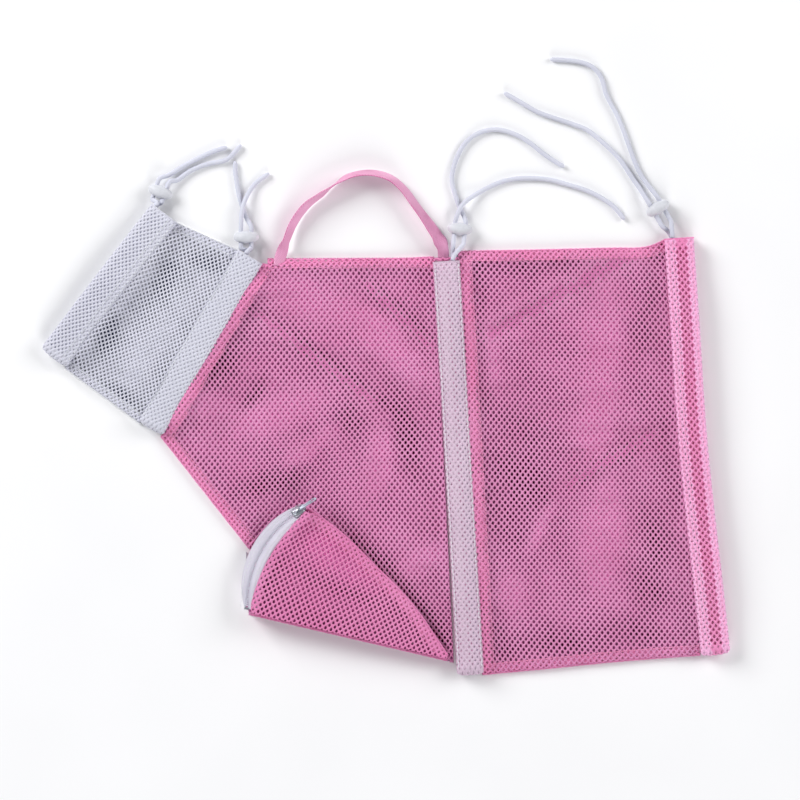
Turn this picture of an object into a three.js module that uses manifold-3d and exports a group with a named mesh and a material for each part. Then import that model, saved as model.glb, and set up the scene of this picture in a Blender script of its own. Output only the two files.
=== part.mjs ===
// A mesh pet-bathing bag with four drawstring channels, lying flat on a surface.
// Millimetres, +Z up, +X towards the tail end, +Y towards the handle. The bag is two layers of net:
// a back layer on the surface and a front layer over it, joined along the top and bottom edges and
// open through the head cover, the neck, the waist and the tail. The lower front corner is folded up
// over the front, so its zipper faces upwards.

import * as THREE from 'three';
import { mergeVertices } from 'three/addons/utils/BufferGeometryUtils.js';
import Module from 'manifold-3d';

const wasm = await Module();
wasm.setup();

// ---------------------------------------------------------------- driving dimensions

const LAYER = 1.2;            // thickness of one layer of net
const SEAM_Z = 4.4;           // underside of the front layer along the side seams
const PLATEAU_Z = 13.0;       // underside of the front layer where the bag is fullest
const GAP = 0.4;              // room between a panel and the channel or panel beside it

const CHANNEL_HEIGHT = 6.2;   // outer height of a drawstring channel
const CHANNEL_WALL = 0.7;
const BACK_RUN_Z = 3.1;       // centre height of a channel's back run
const FRONT_RUN_Z = 14.2;     // centre height of its front run in the middle
const END_RUN_Z = 10.1;       // centre height of its front run at both ends
const RISE_LENGTH = 60;       // length over which the front run rises

const CORD = 4.0;             // diameter of the drawcord
const CORD_Z = 2.2;           // centre height of a cord lying on the surface
const LOCK = { length: 20, thick: 10, height: 12, hole: 5, spacing: 8 };

const STRAP = { width: 14, thick: 1.3 };
const SEAM_STRIP = { width: 8, thick: 1.0, z: 1.5 };

// The zipper lies on an arc round ZIP_CENTRE. Its surface falls outwards, like a shallow cone.
const ZIP_CENTRE = new THREE.Vector2(-20.7, -142.5);
const ZIP = { radius: 87, half: 8, start: 118.5, end: 181.5, slope: 0.5, z: 15.8 };
const TAPE_THICK = 0.8;
const COIL = { width: 1.2, height: 2.0, offset: 1.1 };
const SLIDER = { angle: 123, length: 9, width: 7.5, plate: 0.9, post: 0.4 };
const PULL = { length: 17, width: 3.2, thick: 0.9 };

const FLAP_LOW_Z = 9.8;       // underside of the folded corner's lower layer
const FLAP_EDGE_Z = 12.6;     // underside of its upper layer along the free edge
const FLAP_CROWN = 7.0;       // rise of its upper layer above the free edge

// ---------------------------------------------------------------- key points of the outline

const at = (x, y) => new THREE.Vector2(x, y);

const noseTop = at(-182, 170);
const noseBottom = at(-269, 57);
const neckTop = at(-96, 123);
const neckBottom = at(-174, -11);
const chestLeft = at(-106, -98);
const foldLeft = at(-107, -150);
const waistTop = at(47, 125);
const waistBottom = at(65.5, -190);
const tailLine = [at(228, 141), at(232, 77), at(238.5, -19), at(255.5, -172)];

const NOSE_WIDTH = 25;
const NECK_WIDTH = 22;
const WAIST_WIDTH = 21;
const TAIL_WIDTH = 23;

// The whole model is moved by this much, so that its origin is the middle of its base.
const ORIGIN = new THREE.Vector3(0.15, -0.45, 0);

// ---------------------------------------------------------------- materials

function finish(colour, roughness, metalness = 0) {
  return () => new THREE.MeshStandardMaterial({ color: colour, roughness, metalness });
}

const pinkNet = finish('#dd86b8', 0.85);
const pinkTrim = finish('#f07fb2', 0.85);
const whiteNet = finish('#d6d9e2', 0.85);
const webbing = finish('#ec8fbe', 0.7);
const cordWhite = finish('#dcdde8', 0.8);
const silicone = finish('#dfe0e6', 0.45);
const tapeWhite = finish('#d5d9e0', 0.75);
const coilWhite = finish('#d0d6de', 0.4);
const metal = finish('#b9bfc9', 0.3, 0.9);

const bag = new THREE.Group();
bag.position.copy(ORIGIN);

function add(name, geometry, material, parent = bag) {
  const mesh = new THREE.Mesh(geometry, material());
  mesh.name = name;
  parent.add(mesh);
  return mesh;
}

// ---------------------------------------------------------------- geometry helpers

function signedVolume(geometry) {
  const p = geometry.attributes.position;
  const index = geometry.index;
  const [a, b, c] = [new THREE.Vector3(), new THREE.Vector3(), new THREE.Vector3()];
  let sum = 0;
  for (let i = 0; i < index.count; i += 3) {
    a.fromBufferAttribute(p, index.getX(i));
    b.fromBufferAttribute(p, index.getX(i + 1));
    c.fromBufferAttribute(p, index.getX(i + 2));
    sum += a.dot(b.cross(c));
  }
  return sum / 6;
}

// Merges a geometry's shared vertices and turns its faces outwards.
function closed(geometry) {
  geometry.deleteAttribute('normal');
  geometry.deleteAttribute('uv');
  const merged = mergeVertices(geometry, 1e-4);
  if (signedVolume(merged) < 0) {
    const index = merged.index;
    for (let i = 0; i < index.count; i += 3) {
      const first = index.getX(i);
      index.setX(i, index.getX(i + 1));
      index.setX(i + 1, first);
    }
  }
  merged.computeVertexNormals();
  return merged;
}

// A box of u by v by w cells whose points are moved to place(u, v, w), each running from 0 to 1.
function warpedBox(cells, place) {
  const box = new THREE.BoxGeometry(1, 1, 1, ...cells);
  const p = box.attributes.position;
  for (let i = 0; i < p.count; i += 1) {
    const q = place(p.getX(i) + 0.5, p.getY(i) + 0.5, p.getZ(i) + 0.5);
    p.setXYZ(i, q.x, q.y, q.z);
  }
  return closed(box);
}

// A route through chosen stations, numbered evenly whatever the distance between them.
class Stations extends THREE.Curve {
  constructor(points) {
    super();
    this.points = points;
  }

  getPointAt(t) {
    return this.points[Math.round(t * (this.points.length - 1))].clone();
  }

  getTangentAt(t) {
    const i = Math.round(t * (this.points.length - 1));
    const next = this.points[Math.min(i + 1, this.points.length - 1)];
    const before = this.points[Math.max(i - 1, 0)];
    return next.clone().sub(before).normalize();
  }
}

function sweep(shape, points) {
  const options = { steps: points.length - 1, bevelEnabled: false, extrudePath: new Stations(points) };
  return closed(new THREE.ExtrudeGeometry(shape, options));
}

function disc(radius, sides) {
  const shape = new THREE.Shape();
  shape.absarc(0, 0, radius, 0, 2 * Math.PI, false);
  return new THREE.Shape(shape.getPoints(sides).slice(0, sides));
}

function toManifold(geometry) {
  const vertProperties = Float32Array.from(geometry.attributes.position.array);
  const triVerts = Uint32Array.from(geometry.index.array);
  return new wasm.Manifold(new wasm.Mesh({ numProp: 3, vertProperties, triVerts }));
}

function fromManifold(solid) {
  const { vertProperties, triVerts } = solid.getMesh();
  const geometry = new THREE.BufferGeometry();
  geometry.setAttribute('position', new THREE.BufferAttribute(Float32Array.from(vertProperties), 3));
  geometry.setIndex(new THREE.BufferAttribute(Uint32Array.from(triVerts), 1));
  geometry.computeVertexNormals();
  return geometry;
}

const mix = THREE.MathUtils.lerp;
const smooth = THREE.MathUtils.smoothstep;
const degrees = THREE.MathUtils.degToRad;

// A point beside the line from a to b: along is the distance from a, aside the distance to its left.
function beside(a, b, along, aside) {
  const d = b.clone().sub(a).normalize();
  return at(a.x + d.x * along - d.y * aside, a.y + d.y * along + d.x * aside);
}

// A polyline that reaches its inner points at the given shares of its length.
function polyline(points, shares) {
  return (t) => {
    let i = 0;
    while (i < shares.length - 2 && t > shares[i + 1]) i += 1;
    const local = (t - shares[i]) / (shares[i + 1] - shares[i]);
    return points[i].clone().lerp(points[i + 1], local);
  };
}

const straight = (a, b) => polyline([a, b], [0, 1]);

function spline(points) {
  const curve = new THREE.SplineCurve(points);
  return (t) => curve.getPoint(t);
}

// ---------------------------------------------------------------- the four drawstring channels

const noseSide = beside(noseTop, noseBottom, 0, NOSE_WIDTH / 2);
const noseFoot = beside(noseTop, noseBottom, noseTop.distanceTo(noseBottom) - 7, NOSE_WIDTH / 2);
const neckSide = beside(neckTop, neckBottom, 0, -NECK_WIDTH / 2);
const neckFoot = beside(neckTop, neckBottom, neckTop.distanceTo(neckBottom) - 7, -NECK_WIDTH / 2);

// width is across the channel, and cordAside is how far its drawcord lies from its middle line.
const channels = {
  nose: {
    name: 'nose_channel', axis: [noseSide, noseFoot], width: NOSE_WIDTH, cordAside: -9, net: whiteNet,
  },
  neck: {
    name: 'neck_band', axis: [neckSide, neckFoot], width: NECK_WIDTH, cordAside: -4, net: whiteNet,
  },
  waist: {
    name: 'waist_band', axis: [waistTop, waistBottom], width: WAIST_WIDTH, cordAside: 5, net: whiteNet,
  },
  tail: { name: 'tail_channel', axis: tailLine, width: TAIL_WIDTH, cordAside: -5, net: pinkTrim },
};

function frontRunZ(along, length) {
  return mix(END_RUN_Z, FRONT_RUN_Z, smooth(Math.min(along, length - along), 0, RISE_LENGTH));
}

// Stations down the front run, round the fold at the bottom edge and back up the back run.
function channelStations(axis, aside, from) {
  const curve = new THREE.SplineCurve(axis);
  const length = curve.getLength();
  const place = (along, z) => {
    const t = THREE.MathUtils.clamp(along / length, 0, 1);
    const p = curve.getPointAt(t);
    const d = curve.getTangentAt(t);
    return new THREE.Vector3(p.x - d.y * aside, p.y + d.x * aside, z);
  };
  const run = [from, 18, 38, 60, length / 2, length - 60, length - 38, length - 18, length];
  const stations = run.map((along) => place(along, frontRunZ(along, length)));
  const end = place(length, 0);
  const d = curve.getTangentAt(1);
  const bend = (END_RUN_Z - BACK_RUN_Z) / 2;
  for (let i = 1; i <= 6; i += 1) {
    const angle = Math.PI / 2 - (Math.PI * i) / 6;
    const out = bend * Math.cos(angle);
    const z = BACK_RUN_Z + bend + bend * Math.sin(angle);
    stations.push(new THREE.Vector3(end.x + d.x * out, end.y + d.y * out, z));
  }
  for (const share of [0.66, 0.33]) stations.push(place(length * share, BACK_RUN_Z));
  stations.push(place(from, BACK_RUN_Z));
  return stations;
}

// The flat, slightly chamfered outline of a channel; inset is the distance in from its outer face.
function channelOutline(width, inset) {
  const h = CHANNEL_HEIGHT / 2 - inset;
  const w = width / 2 - inset;
  const c = 1.5;
  const corner = [[h, w - c], [h - c, w], [c - h, w], [-h, w - c]];
  const half = corner.map(([x, y]) => at(x, y));
  return half.concat(half.map((p) => at(-p.x, -p.y)));
}

function channel(spec) {
  const shape = new THREE.Shape(channelOutline(spec.width, 0));
  shape.holes.push(new THREE.Path(channelOutline(spec.width, CHANNEL_WALL)));
  return sweep(shape, channelStations(spec.axis, 0, 0));
}

for (const [key, spec] of Object.entries(channels)) {
  add(spec.name, channel(spec), spec.net);
  const inner = sweep(disc(CORD / 2, 8), channelStations(spec.axis, spec.cordAside, 0.4));
  add(`${key}_cord_in_channel`, inner, cordWhite);
}

// ---------------------------------------------------------------- net panels

// How far a point lies outside the triangle that the folded corner covers, its corners taken clockwise.
const flapCover = [at(-142, -152), at(-74, -38), at(72, -182)];

function outsideFlap(p) {
  const distances = flapCover.map((a, i) => {
    const b = flapCover[(i + 1) % flapCover.length];
    const d = b.clone().sub(a).normalize();
    return d.x * (p.y - a.y) - d.y * (p.x - a.x);
  });
  return Math.max(0, ...distances);
}

function swell(v) {
  return 1 - (1 - 4 * v * (1 - v)) ** 2;
}

// Underside of the front layer at p, where v runs from one side seam to the other.
function frontZ(p, v, pressed) {
  const free = mix(SEAM_Z, PLATEAU_Z, swell(v));
  if (!pressed) return free;
  return Math.min(free, 7.4 + 0.3 * outsideFlap(p));
}

// A panel between an upper and a lower boundary, whose left and right ends follow the channels.
function panel(top, bottom, cells, underside) {
  return warpedBox([...cells, 1], (u, v, w) => {
    const p = top(u).lerp(bottom(u), v);
    return new THREE.Vector3(p.x, p.y, underside(p, v) + w * LAYER);
  });
}

function layers(name, top, bottom, cells, net, pressed = false) {
  add(`${name}_front`, panel(top, bottom, cells, (p, v) => frontZ(p, v, pressed)), net);
  add(`${name}_back`, panel(top, bottom, [cells[0], 2], () => 0), net);
}

// A turned-in seam allowance between the two layers, just inside an edge.
function seamStrip(name, edge, inward, material, z = SEAM_STRIP.z, cells = 6, parent = bag) {
  const strip = warpedBox([cells, 1, 1], (u, v, w) => {
    const p = edge(mix(0.02, 0.98, u));
    const aside = 0.8 + v * SEAM_STRIP.width;
    return new THREE.Vector3(p.x + inward.x * aside, p.y + inward.y * aside, z + w * SEAM_STRIP.thick);
  });
  add(name, strip, material, parent);
}

function headCover() {
  const noseLength = noseTop.distanceTo(noseBottom);
  const neckLength = neckTop.distanceTo(neckBottom);
  const a = beside(noseTop, noseBottom, 0, NOSE_WIDTH + GAP);
  const b = beside(noseTop, noseBottom, noseLength, NOSE_WIDTH + GAP);
  const c = beside(neckTop, neckBottom, 0, -NECK_WIDTH - GAP);
  const d = beside(neckTop, neckBottom, neckLength, -NECK_WIDTH - GAP);
  const top = straight(a, c);
  const bottom = straight(b, d);
  layers('head_cover', top, bottom, [5, 10], whiteNet);
  seamStrip('head_top_seam', top, at(-0.53, -0.85), whiteNet, SEAM_STRIP.z, 2);
  seamStrip('head_bottom_seam', bottom, at(0.5, 0.86), whiteNet, SEAM_STRIP.z, 2);
}

const neckFrontTop = beside(neckTop, neckBottom, 0, GAP);
const neckFrontBottom = beside(neckTop, neckBottom, neckTop.distanceTo(neckBottom), GAP);
const chestTop = straight(neckFrontTop, at(35.9, 128.5));
const chestShares = [0, 0.35, 0.5, 1];
const chestBottom = polyline([neckFrontBottom, chestLeft, foldLeft, at(51.5, -187)], chestShares);

function chest() {
  layers('chest', chestTop, chestBottom, [20, 12], pinkNet, true);
  seamStrip('chest_top_seam', chestTop, at(0.03, -1), pinkTrim);
  const left = straight(at(-168, -18.5), at(-110, -92.5));
  seamStrip('chest_left_seam', left, at(0.78, 0.63), pinkTrim);
}

function rear() {
  const top = spline([at(58.3, 133), at(110, 134), at(170, 137), at(215.5, 140)]);
  const bottom = spline([at(77, -196), at(120, -192), at(180, -186), at(242.5, -181)]);
  const tailInner = (v) => {
    const curve = new THREE.SplineCurve(tailLine);
    const p = curve.getPointAt(v);
    const d = curve.getTangentAt(v);
    const aside = -(TAIL_WIDTH / 2 + GAP);
    return at(p.x - d.y * aside, p.y + d.x * aside);
  };
  // The right-hand end bends with the tail channel.
  const place = (u, v) => {
    const p = top(u).lerp(bottom(u), v);
    const end = top(1).lerp(bottom(1), v);
    p.x += (tailInner(v).x - end.x) * u;
    return p;
  };
  const solid = (cells, underside) => warpedBox([...cells, 1], (u, v, w) => {
    const p = place(u, v);
    return new THREE.Vector3(p.x, p.y, underside(v) + w * LAYER);
  });
  add('rear_front', solid([6, 14], (v) => frontZ(null, v, false)), pinkNet);
  add('rear_back', solid([4, 6], () => 0), pinkNet);
  seamStrip('rear_top_seam', (t) => top(mix(0.01, 0.97, t)), at(0, -1), pinkTrim);
  seamStrip('rear_bottom_seam', (t) => bottom(mix(0.02, 0.98, t)), at(0, 1), pinkTrim);
}

// The body net's top edge where it runs on above the waist band's mouth, between the cord's two ends.
function waistTopStrip() {
  const strip = warpedBox([3, 1, 1], (u, v, w) => {
    const x = mix(36.4, 57.8, u);
    return new THREE.Vector3(x, mix(126.2, 128.6, v), 5.8 + 0.7 * w);
  });
  add('waist_top_strip', strip, pinkTrim);
}

// ---------------------------------------------------------------- folded corner and its zipper

function zipPoint(radius, angle, lift = 0) {
  const a = degrees(angle);
  const tilt = Math.atan(ZIP.slope);
  const r = radius + lift * Math.sin(tilt);
  const z = ZIP.z + (ZIP.radius - radius) * ZIP.slope + lift * Math.cos(tilt);
  return new THREE.Vector3(ZIP_CENTRE.x + r * Math.cos(a), ZIP_CENTRE.y + r * Math.sin(a), z);
}

// A strip that follows the zipper between two radii, with its underside at the given lift.
function zipStrip(inner, outer, lift, thick, cells = 18, from = ZIP.start, to = ZIP.end) {
  return warpedBox([cells, 1, 1], (u, v, w) => {
    return zipPoint(mix(inner, outer, v), mix(from, to, u), lift + w * thick);
  });
}

function zipperTapes() {
  const r = ZIP.radius;
  const clear = COIL.offset + COIL.width / 2 + 0.3;
  add('zipper_tape_outer', zipStrip(r + clear, r + ZIP.half, -TAPE_THICK / 2, TAPE_THICK), tapeWhite);
  add('zipper_tape_inner', zipStrip(r - ZIP.half, r - clear, -TAPE_THICK / 2, TAPE_THICK), tapeWhite);
  for (const [side, name] of [[1, 'zipper_coil_outer'], [-1, 'zipper_coil_inner']]) {
    const centre = r + side * COIL.offset;
    const coil = zipStrip(centre - COIL.width / 2, centre + COIL.width / 2, -COIL.height / 2, COIL.height,
      24, ZIP.start + 1.3, ZIP.end - 1.3);
    add(name, coil, coilWhite);
  }
  const stopHalf = COIL.offset + COIL.width / 2;
  const stop = (from, to) => (
    zipStrip(r - stopHalf, r + stopHalf, -COIL.height / 2, COIL.height, 1, from, to)
  );
  add('zipper_top_stop', stop(ZIP.start, ZIP.start + 1), metal);
  add('zipper_bottom_stop', stop(ZIP.end - 1, ZIP.end), metal);
}

// The slider's own frame: x across the tape and inwards, y along it towards the top stop, z off it.
function sliderFrame() {
  const origin = zipPoint(ZIP.radius, SLIDER.angle);
  const a = degrees(SLIDER.angle);
  const along = new THREE.Vector3(Math.sin(a), -Math.cos(a), 0);
  const across = new THREE.Vector3(-Math.cos(a), -Math.sin(a), ZIP.slope).normalize();
  const off = across.clone().cross(along).normalize();
  return new THREE.Matrix4().makeBasis(across, along, off).setPosition(origin);
}

function block(x, y, z, w, l, h) {
  return new THREE.BoxGeometry(w, l, h).translate(x, y, z);
}

function slider() {
  const top = COIL.height / 2 + 0.5 + SLIDER.plate / 2;
  const { width, length, plate, post } = SLIDER;
  const noseWidth = width - 2;
  const pieces = [
    block(0, 0, top, width, length, plate),
    block(0, 0, -top, width, length, plate),
    block(0, length / 2, top, noseWidth, 2, plate),
    block(0, length / 2 - 1.2, 0, post, 1.8, 2 * top),
    block(-2.1, 1, top + plate / 2 + 0.9, 0.8, 3, 1.8),
    block(2.1, 1, top + plate / 2 + 0.9, 0.8, 3, 1.8),
  ];
  let solid = toManifold(closed(pieces[0]));
  for (const piece of pieces.slice(1)) solid = solid.add(toManifold(closed(piece)));
  const geometry = fromManifold(solid);
  geometry.applyMatrix4(sliderFrame());
  add('zipper_slider', geometry, metal);

  // The pull tab hangs between the slider's two ears and points past the top stop.
  const z = top + plate / 2 + 1.1;
  const tabBlock = block(0, 1 + PULL.length / 2, z, PULL.width - 0.4, PULL.length, PULL.thick);
  const tab = toManifold(closed(tabBlock));
  const eye = toManifold(closed(block(0, PULL.length - 1.4, z, 1.4, 2.6, 3)));
  const pull = fromManifold(tab.subtract(eye));
  pull.applyMatrix4(sliderFrame());
  add('zipper_pull', pull, metal);
}

// The rest of the zipper goes on down the chest's left edge, under the folded corner.
function hiddenZipper() {
  const strip = warpedBox([4, 1, 1], (u, v, w) => {
    return new THREE.Vector3(-109 + w + (1 - u) * 0.3, mix(-146, -101, u), mix(0.3, 7.3, v));
  });
  add('zipper_lower_run', strip, tapeWhite);
}

const flapFree = spline([at(-60.5, -66.5), at(-34, -86.5), at(-10, -110), at(19, -139.5), at(48, -181)]);
const flapFold = straight(at(-104, -148.2), at(47.5, -184));

function flapPoint(u, v, radius) {
  const arc = zipPoint(radius, mix(ZIP.end - 1, ZIP.start + 1, v));
  const edge = flapFold(u).lerp(flapFree(u), v);
  const start = flapFold(0).lerp(flapFree(0), v);
  const pull = (1 - u) ** 2;
  return at(edge.x + (arc.x - start.x) * pull, edge.y + (arc.y - start.y) * pull);
}

function foldedCorner() {
  const inner = ZIP.radius - ZIP.half - 0.6;
  const upper = warpedBox([12, 8, 1], (u, v, w) => {
    const p = flapPoint(u, v, inner);
    const crown = FLAP_CROWN * (1 - v ** 2) * (1 - u ** 2);
    return new THREE.Vector3(p.x, p.y, FLAP_EDGE_Z + crown + w * LAYER);
  });
  add('leg_flap_upper', upper, pinkNet);
  const lower = warpedBox([12, 4, 1], (u, v, w) => {
    const p = flapPoint(u, v, ZIP.radius + ZIP.half - 2);
    return new THREE.Vector3(p.x, p.y, FLAP_LOW_Z + w * LAYER);
  });
  add('leg_flap_lower', lower, pinkNet);
  seamStrip('leg_flap_seam', (t) => flapFree(mix(0.08, 0.93, t)), at(-0.72, -0.69), pinkTrim, 11.3, 10);
}

// ---------------------------------------------------------------- handle

const strapLine = new THREE.CatmullRomCurve3([
  [-82.6, 127], [-77.2, 142], [-72, 154.6], [-62.1, 168.2], [-49.5, 177.6], [-39.1, 185.4], [-28.7, 191.7],
  [-13, 194.3], [2.7, 190.6], [13.1, 182.3], [23.6, 168.2], [35, 152.5], [42.5, 140.5], [44.5, 134.5],
].map(([x, y]) => new THREE.Vector3(x, y, 0)));

// The webbing's tilt from lying flat, in degrees, at shares of its length: it makes half a turn.
const strapTilt = [
  [0, 12], [0.09, 40], [0.2, 64], [0.33, 78], [0.42, 92], [0.5, 116], [0.8, 124], [0.93, 142], [1, 160],
];

function tiltAt(t) {
  let i = 0;
  while (i < strapTilt.length - 2 && t > strapTilt[i + 1][0]) i += 1;
  const [[t0, a0], [t1, a1]] = [strapTilt[i], strapTilt[i + 1]];
  return degrees(mix(a0, a1, smooth(t, t0, t1)));
}

function handle() {
  const up = new THREE.Vector3(0, 0, 1);
  const strap = warpedBox([44, 2, 1], (u, v, w) => {
    const centre = strapLine.getPointAt(u);
    const tangent = strapLine.getTangentAt(u);
    const side = tangent.clone().cross(up);
    const tilt = tiltAt(u);
    const across = side.multiplyScalar(-Math.cos(tilt)).addScaledVector(up, Math.sin(tilt));
    const off = tangent.clone().cross(across);
    centre.z = 1.2 + (STRAP.width / 2) * Math.abs(Math.sin(tilt)) + 2 * smooth(Math.abs(u - 0.5), 0.4, 0.5);
    const width = STRAP.width * (1 - 0.3 * smooth(u, 0.93, 1));
    return centre.addScaledVector(across, (v - 0.5) * width).addScaledVector(off, (w - 0.5) * STRAP.thick);
  });
  add('handle_strap', strap, webbing);
  // The strap's two ends, sewn between the layers at the top edge.
  const tab = (x, low, high, width) => block(x, (low + high) / 2, 3.4, width, high - low, 1.2);
  add('handle_tab_left', closed(tab(-83, 115, 123.6, 13)), webbing);
  add('handle_tab_right', closed(tab(44, 125.9, 132.6, 9)), webbing);
}

// ---------------------------------------------------------------- cord locks and free cord tails

// Each lock's middle, the direction its cords run away from the bag, how far it slides inward and outward,
// the hole that takes the channel's front run (left -1 or right 1 of that direction), and each tail's own
// points past the lock. A point without a height lies on the surface.
const locks = {
  nose: {
    centre: at(-175.5, 179.5), axis: at(0.35, 0.937), inward: 2, outward: 5, front: -1,
    left: [
      [-169.2, 192.5, 3], [-159.7, 198.8], [-147.7, 205.2], [-135.8, 210.8], [-129.1, 213.2],
      [-123.6, 214.4],
    ],
    right: [
      [-162.6, 188.6, 3], [-153.7, 195.4], [-141.7, 200.6], [-133.8, 202.6], [-127, 203.4],
      [-122, 206], [-117.5, 211], [-112.7, 216.5],
    ],
  },
  neck: {
    centre: at(-108.8, 144.3), axis: at(0, 1), inward: 3, outward: 3, front: 1,
    left: [
      [-112.4, 161, 7.2], [-111.3, 168, 7.6], [-108.3, 176, 4.6], [-102.8, 185, 2.4], [-96.6, 190.4],
      [-90.9, 194.2],
    ],
    right: [
      [-109, 160, 3.2], [-112, 168], [-114.6, 177], [-116.4, 188.4], [-117.5, 196], [-117.5, 203.6],
    ],
  },
  waist: {
    centre: at(57.6, 150.6), axis: at(0.1, 0.995), inward: 6, outward: 1, front: 1,
    left: [
      [56.4, 164.2, 7.2], [59, 169, 7.6], [64.4, 173.8, 5], [74, 180], [85, 185.6], [96, 189.2],
      [112, 190.4], [129, 189], [143, 185], [156, 181], [168, 175], [178, 168], [186, 158],
    ],
    right: [
      [60, 162.6, 3.4], [56.8, 169], [53.8, 178], [51.2, 189], [53, 200], [57, 210], [62, 218],
      [70, 224.5], [79, 227.8], [87, 228.4], [96, 226.4], [106, 222], [115, 216], [121.5, 210.5],
      [131, 204], [139, 199],
    ],
  },
  tail: {
    centre: at(211.5, 166.8), axis: at(-0.5, 0.866), inward: 8, outward: 5, front: 1,
    left: [
      [196, 185, 2.6], [191, 192], [184, 203], [176, 212], [166, 221], [157, 228], [146, 232.4],
      [132, 237], [118, 242], [106, 249], [92, 257],
    ],
    right: [
      [202.6, 187, 2.6], [197, 196], [192.5, 207], [188.6, 218], [184.6, 229], [180, 240],
      [174.5, 250], [171, 257], [169.6, 264], [167, 271], [162, 276.5], [155, 280], [144, 282],
      [128, 283],
    ],
  },
};

const LOCK_Z = LOCK.height / 2;

// The centreline of one tail: out of the channel's mouth, straight through the lock's hole, then along the
// surface, with stations evenly spaced before and after the straight stretch.
function tailStations(key, side) {
  const lock = locks[key];
  const spec = channels[key];
  const inside = channelStations(spec.axis, spec.cordAside, 0);
  const mouth = side === lock.front ? inside[0] : inside[inside.length - 1];
  const out = new THREE.SplineCurve(spec.axis).getTangentAt(0).negate();
  const leave = (s) => new THREE.Vector3(mouth.x + out.x * s, mouth.y + out.y * s, mouth.z);
  const a = lock.axis.clone().normalize();
  const x = lock.centre.x + (side * a.y * LOCK.spacing) / 2;
  const y = lock.centre.y - (side * a.x * LOCK.spacing) / 2;
  const along = (s) => new THREE.Vector3(x + a.x * s, y + a.y * s, LOCK_Z);
  const start = -(LOCK.thick / 2 + lock.inward + 1.2);
  const end = LOCK.thick / 2 + lock.outward + 0.6;
  const route = side < 0 ? lock.left : lock.right;
  const rest = route.map(([px, py, pz = CORD_Z]) => new THREE.Vector3(px, py, pz));
  const lead = new THREE.CatmullRomCurve3([leave(0.6), leave(3), along(start), along(start + 3)]);
  const tail = new THREE.CatmullRomCurve3([along(end - 3), along(end), ...rest], false, 'centripetal');
  const leadEnd = 1 - 3 / lead.getLength();
  const before = [0, 0.33, 0.66].map((t) => lead.getPointAt(t * leadEnd));
  const tailStart = 3 / tail.getLength();
  const steps = Math.round(tail.getLength() / (2.1 * CORD));
  const after = [];
  for (let i = 1; i <= steps; i += 1) after.push(tail.getPointAt(mix(tailStart, 1, i / steps)));
  return [...before, along(start), along(0), along(end), ...after];
}

function cordTail(key, side) {
  return sweep(disc(CORD / 2, 8), tailStations(key, side));
}

// A bean-shaped stopper, round in outline across its two holes and flattened along them.
function lockSolid(lock) {
  const profile = new THREE.EllipseCurve(0, 0, LOCK.length / 2, LOCK.thick / 2, -Math.PI / 2, Math.PI / 2);
  const points = profile.getPoints(8).map((p) => at(Math.abs(p.x) ** 0.8 * (LOCK.length / 2) ** 0.2, p.y));
  points[0].x = 0;
  points[points.length - 1].x = 0;
  const bean = closed(new THREE.LatheGeometry(points, 20));
  bean.applyMatrix4(new THREE.Matrix4().makeScale(1, 1, LOCK.height / LOCK.length));
  let solid = toManifold(bean);
  for (const side of [-1, 1]) {
    const hole = new THREE.CylinderGeometry(LOCK.hole / 2, LOCK.hole / 2, 2 * LOCK.thick, 14);
    hole.translate((side * LOCK.spacing) / 2, 0, 0);
    solid = solid.subtract(toManifold(closed(hole)));
  }
  const geometry = fromManifold(solid);
  const a = lock.axis.clone().normalize();
  const basis = new THREE.Matrix4().makeBasis(
    new THREE.Vector3(a.y, -a.x, 0),
    new THREE.Vector3(a.x, a.y, 0),
    new THREE.Vector3(0, 0, 1),
  );
  basis.setPosition(lock.centre.x, lock.centre.y, LOCK_Z);
  return geometry.applyMatrix4(basis);
}

for (const [key, lock] of Object.entries(locks)) {
  add(`${key}_cord_lock`, lockSolid(lock), silicone);
  add(`${key}_cord_tail_left`, cordTail(key, -1), cordWhite);
  add(`${key}_cord_tail_right`, cordTail(key, 1), cordWhite);
}

headCover();
chest();
rear();
waistTopStrip();
zipperTapes();
slider();
hiddenZipper();
foldedCorner();
handle();

export default bag;
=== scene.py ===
"""A mesh pet-bathing bag, laid flat and seen from straight above."""

import math

import bpy
import numpy as np
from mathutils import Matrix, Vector
from mathutils.bvhtree import BVHTree


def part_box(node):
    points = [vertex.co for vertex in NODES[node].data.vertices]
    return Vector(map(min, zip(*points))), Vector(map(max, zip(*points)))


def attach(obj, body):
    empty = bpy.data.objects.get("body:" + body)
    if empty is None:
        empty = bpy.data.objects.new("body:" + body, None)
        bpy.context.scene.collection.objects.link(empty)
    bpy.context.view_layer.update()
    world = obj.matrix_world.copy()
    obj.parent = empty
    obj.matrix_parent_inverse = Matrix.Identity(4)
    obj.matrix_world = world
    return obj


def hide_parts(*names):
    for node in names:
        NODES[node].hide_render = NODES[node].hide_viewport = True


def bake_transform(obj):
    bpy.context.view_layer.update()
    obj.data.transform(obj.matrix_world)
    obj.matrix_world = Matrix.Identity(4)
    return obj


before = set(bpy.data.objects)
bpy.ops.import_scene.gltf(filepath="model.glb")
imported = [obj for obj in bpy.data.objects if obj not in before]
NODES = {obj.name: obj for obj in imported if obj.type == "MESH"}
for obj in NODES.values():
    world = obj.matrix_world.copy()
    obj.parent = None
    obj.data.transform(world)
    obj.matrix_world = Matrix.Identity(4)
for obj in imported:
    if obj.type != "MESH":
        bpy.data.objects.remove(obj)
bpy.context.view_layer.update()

ORIGIN = np.array([0.15, -0.45, 0.0])   # the part's own shift, in mm

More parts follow.
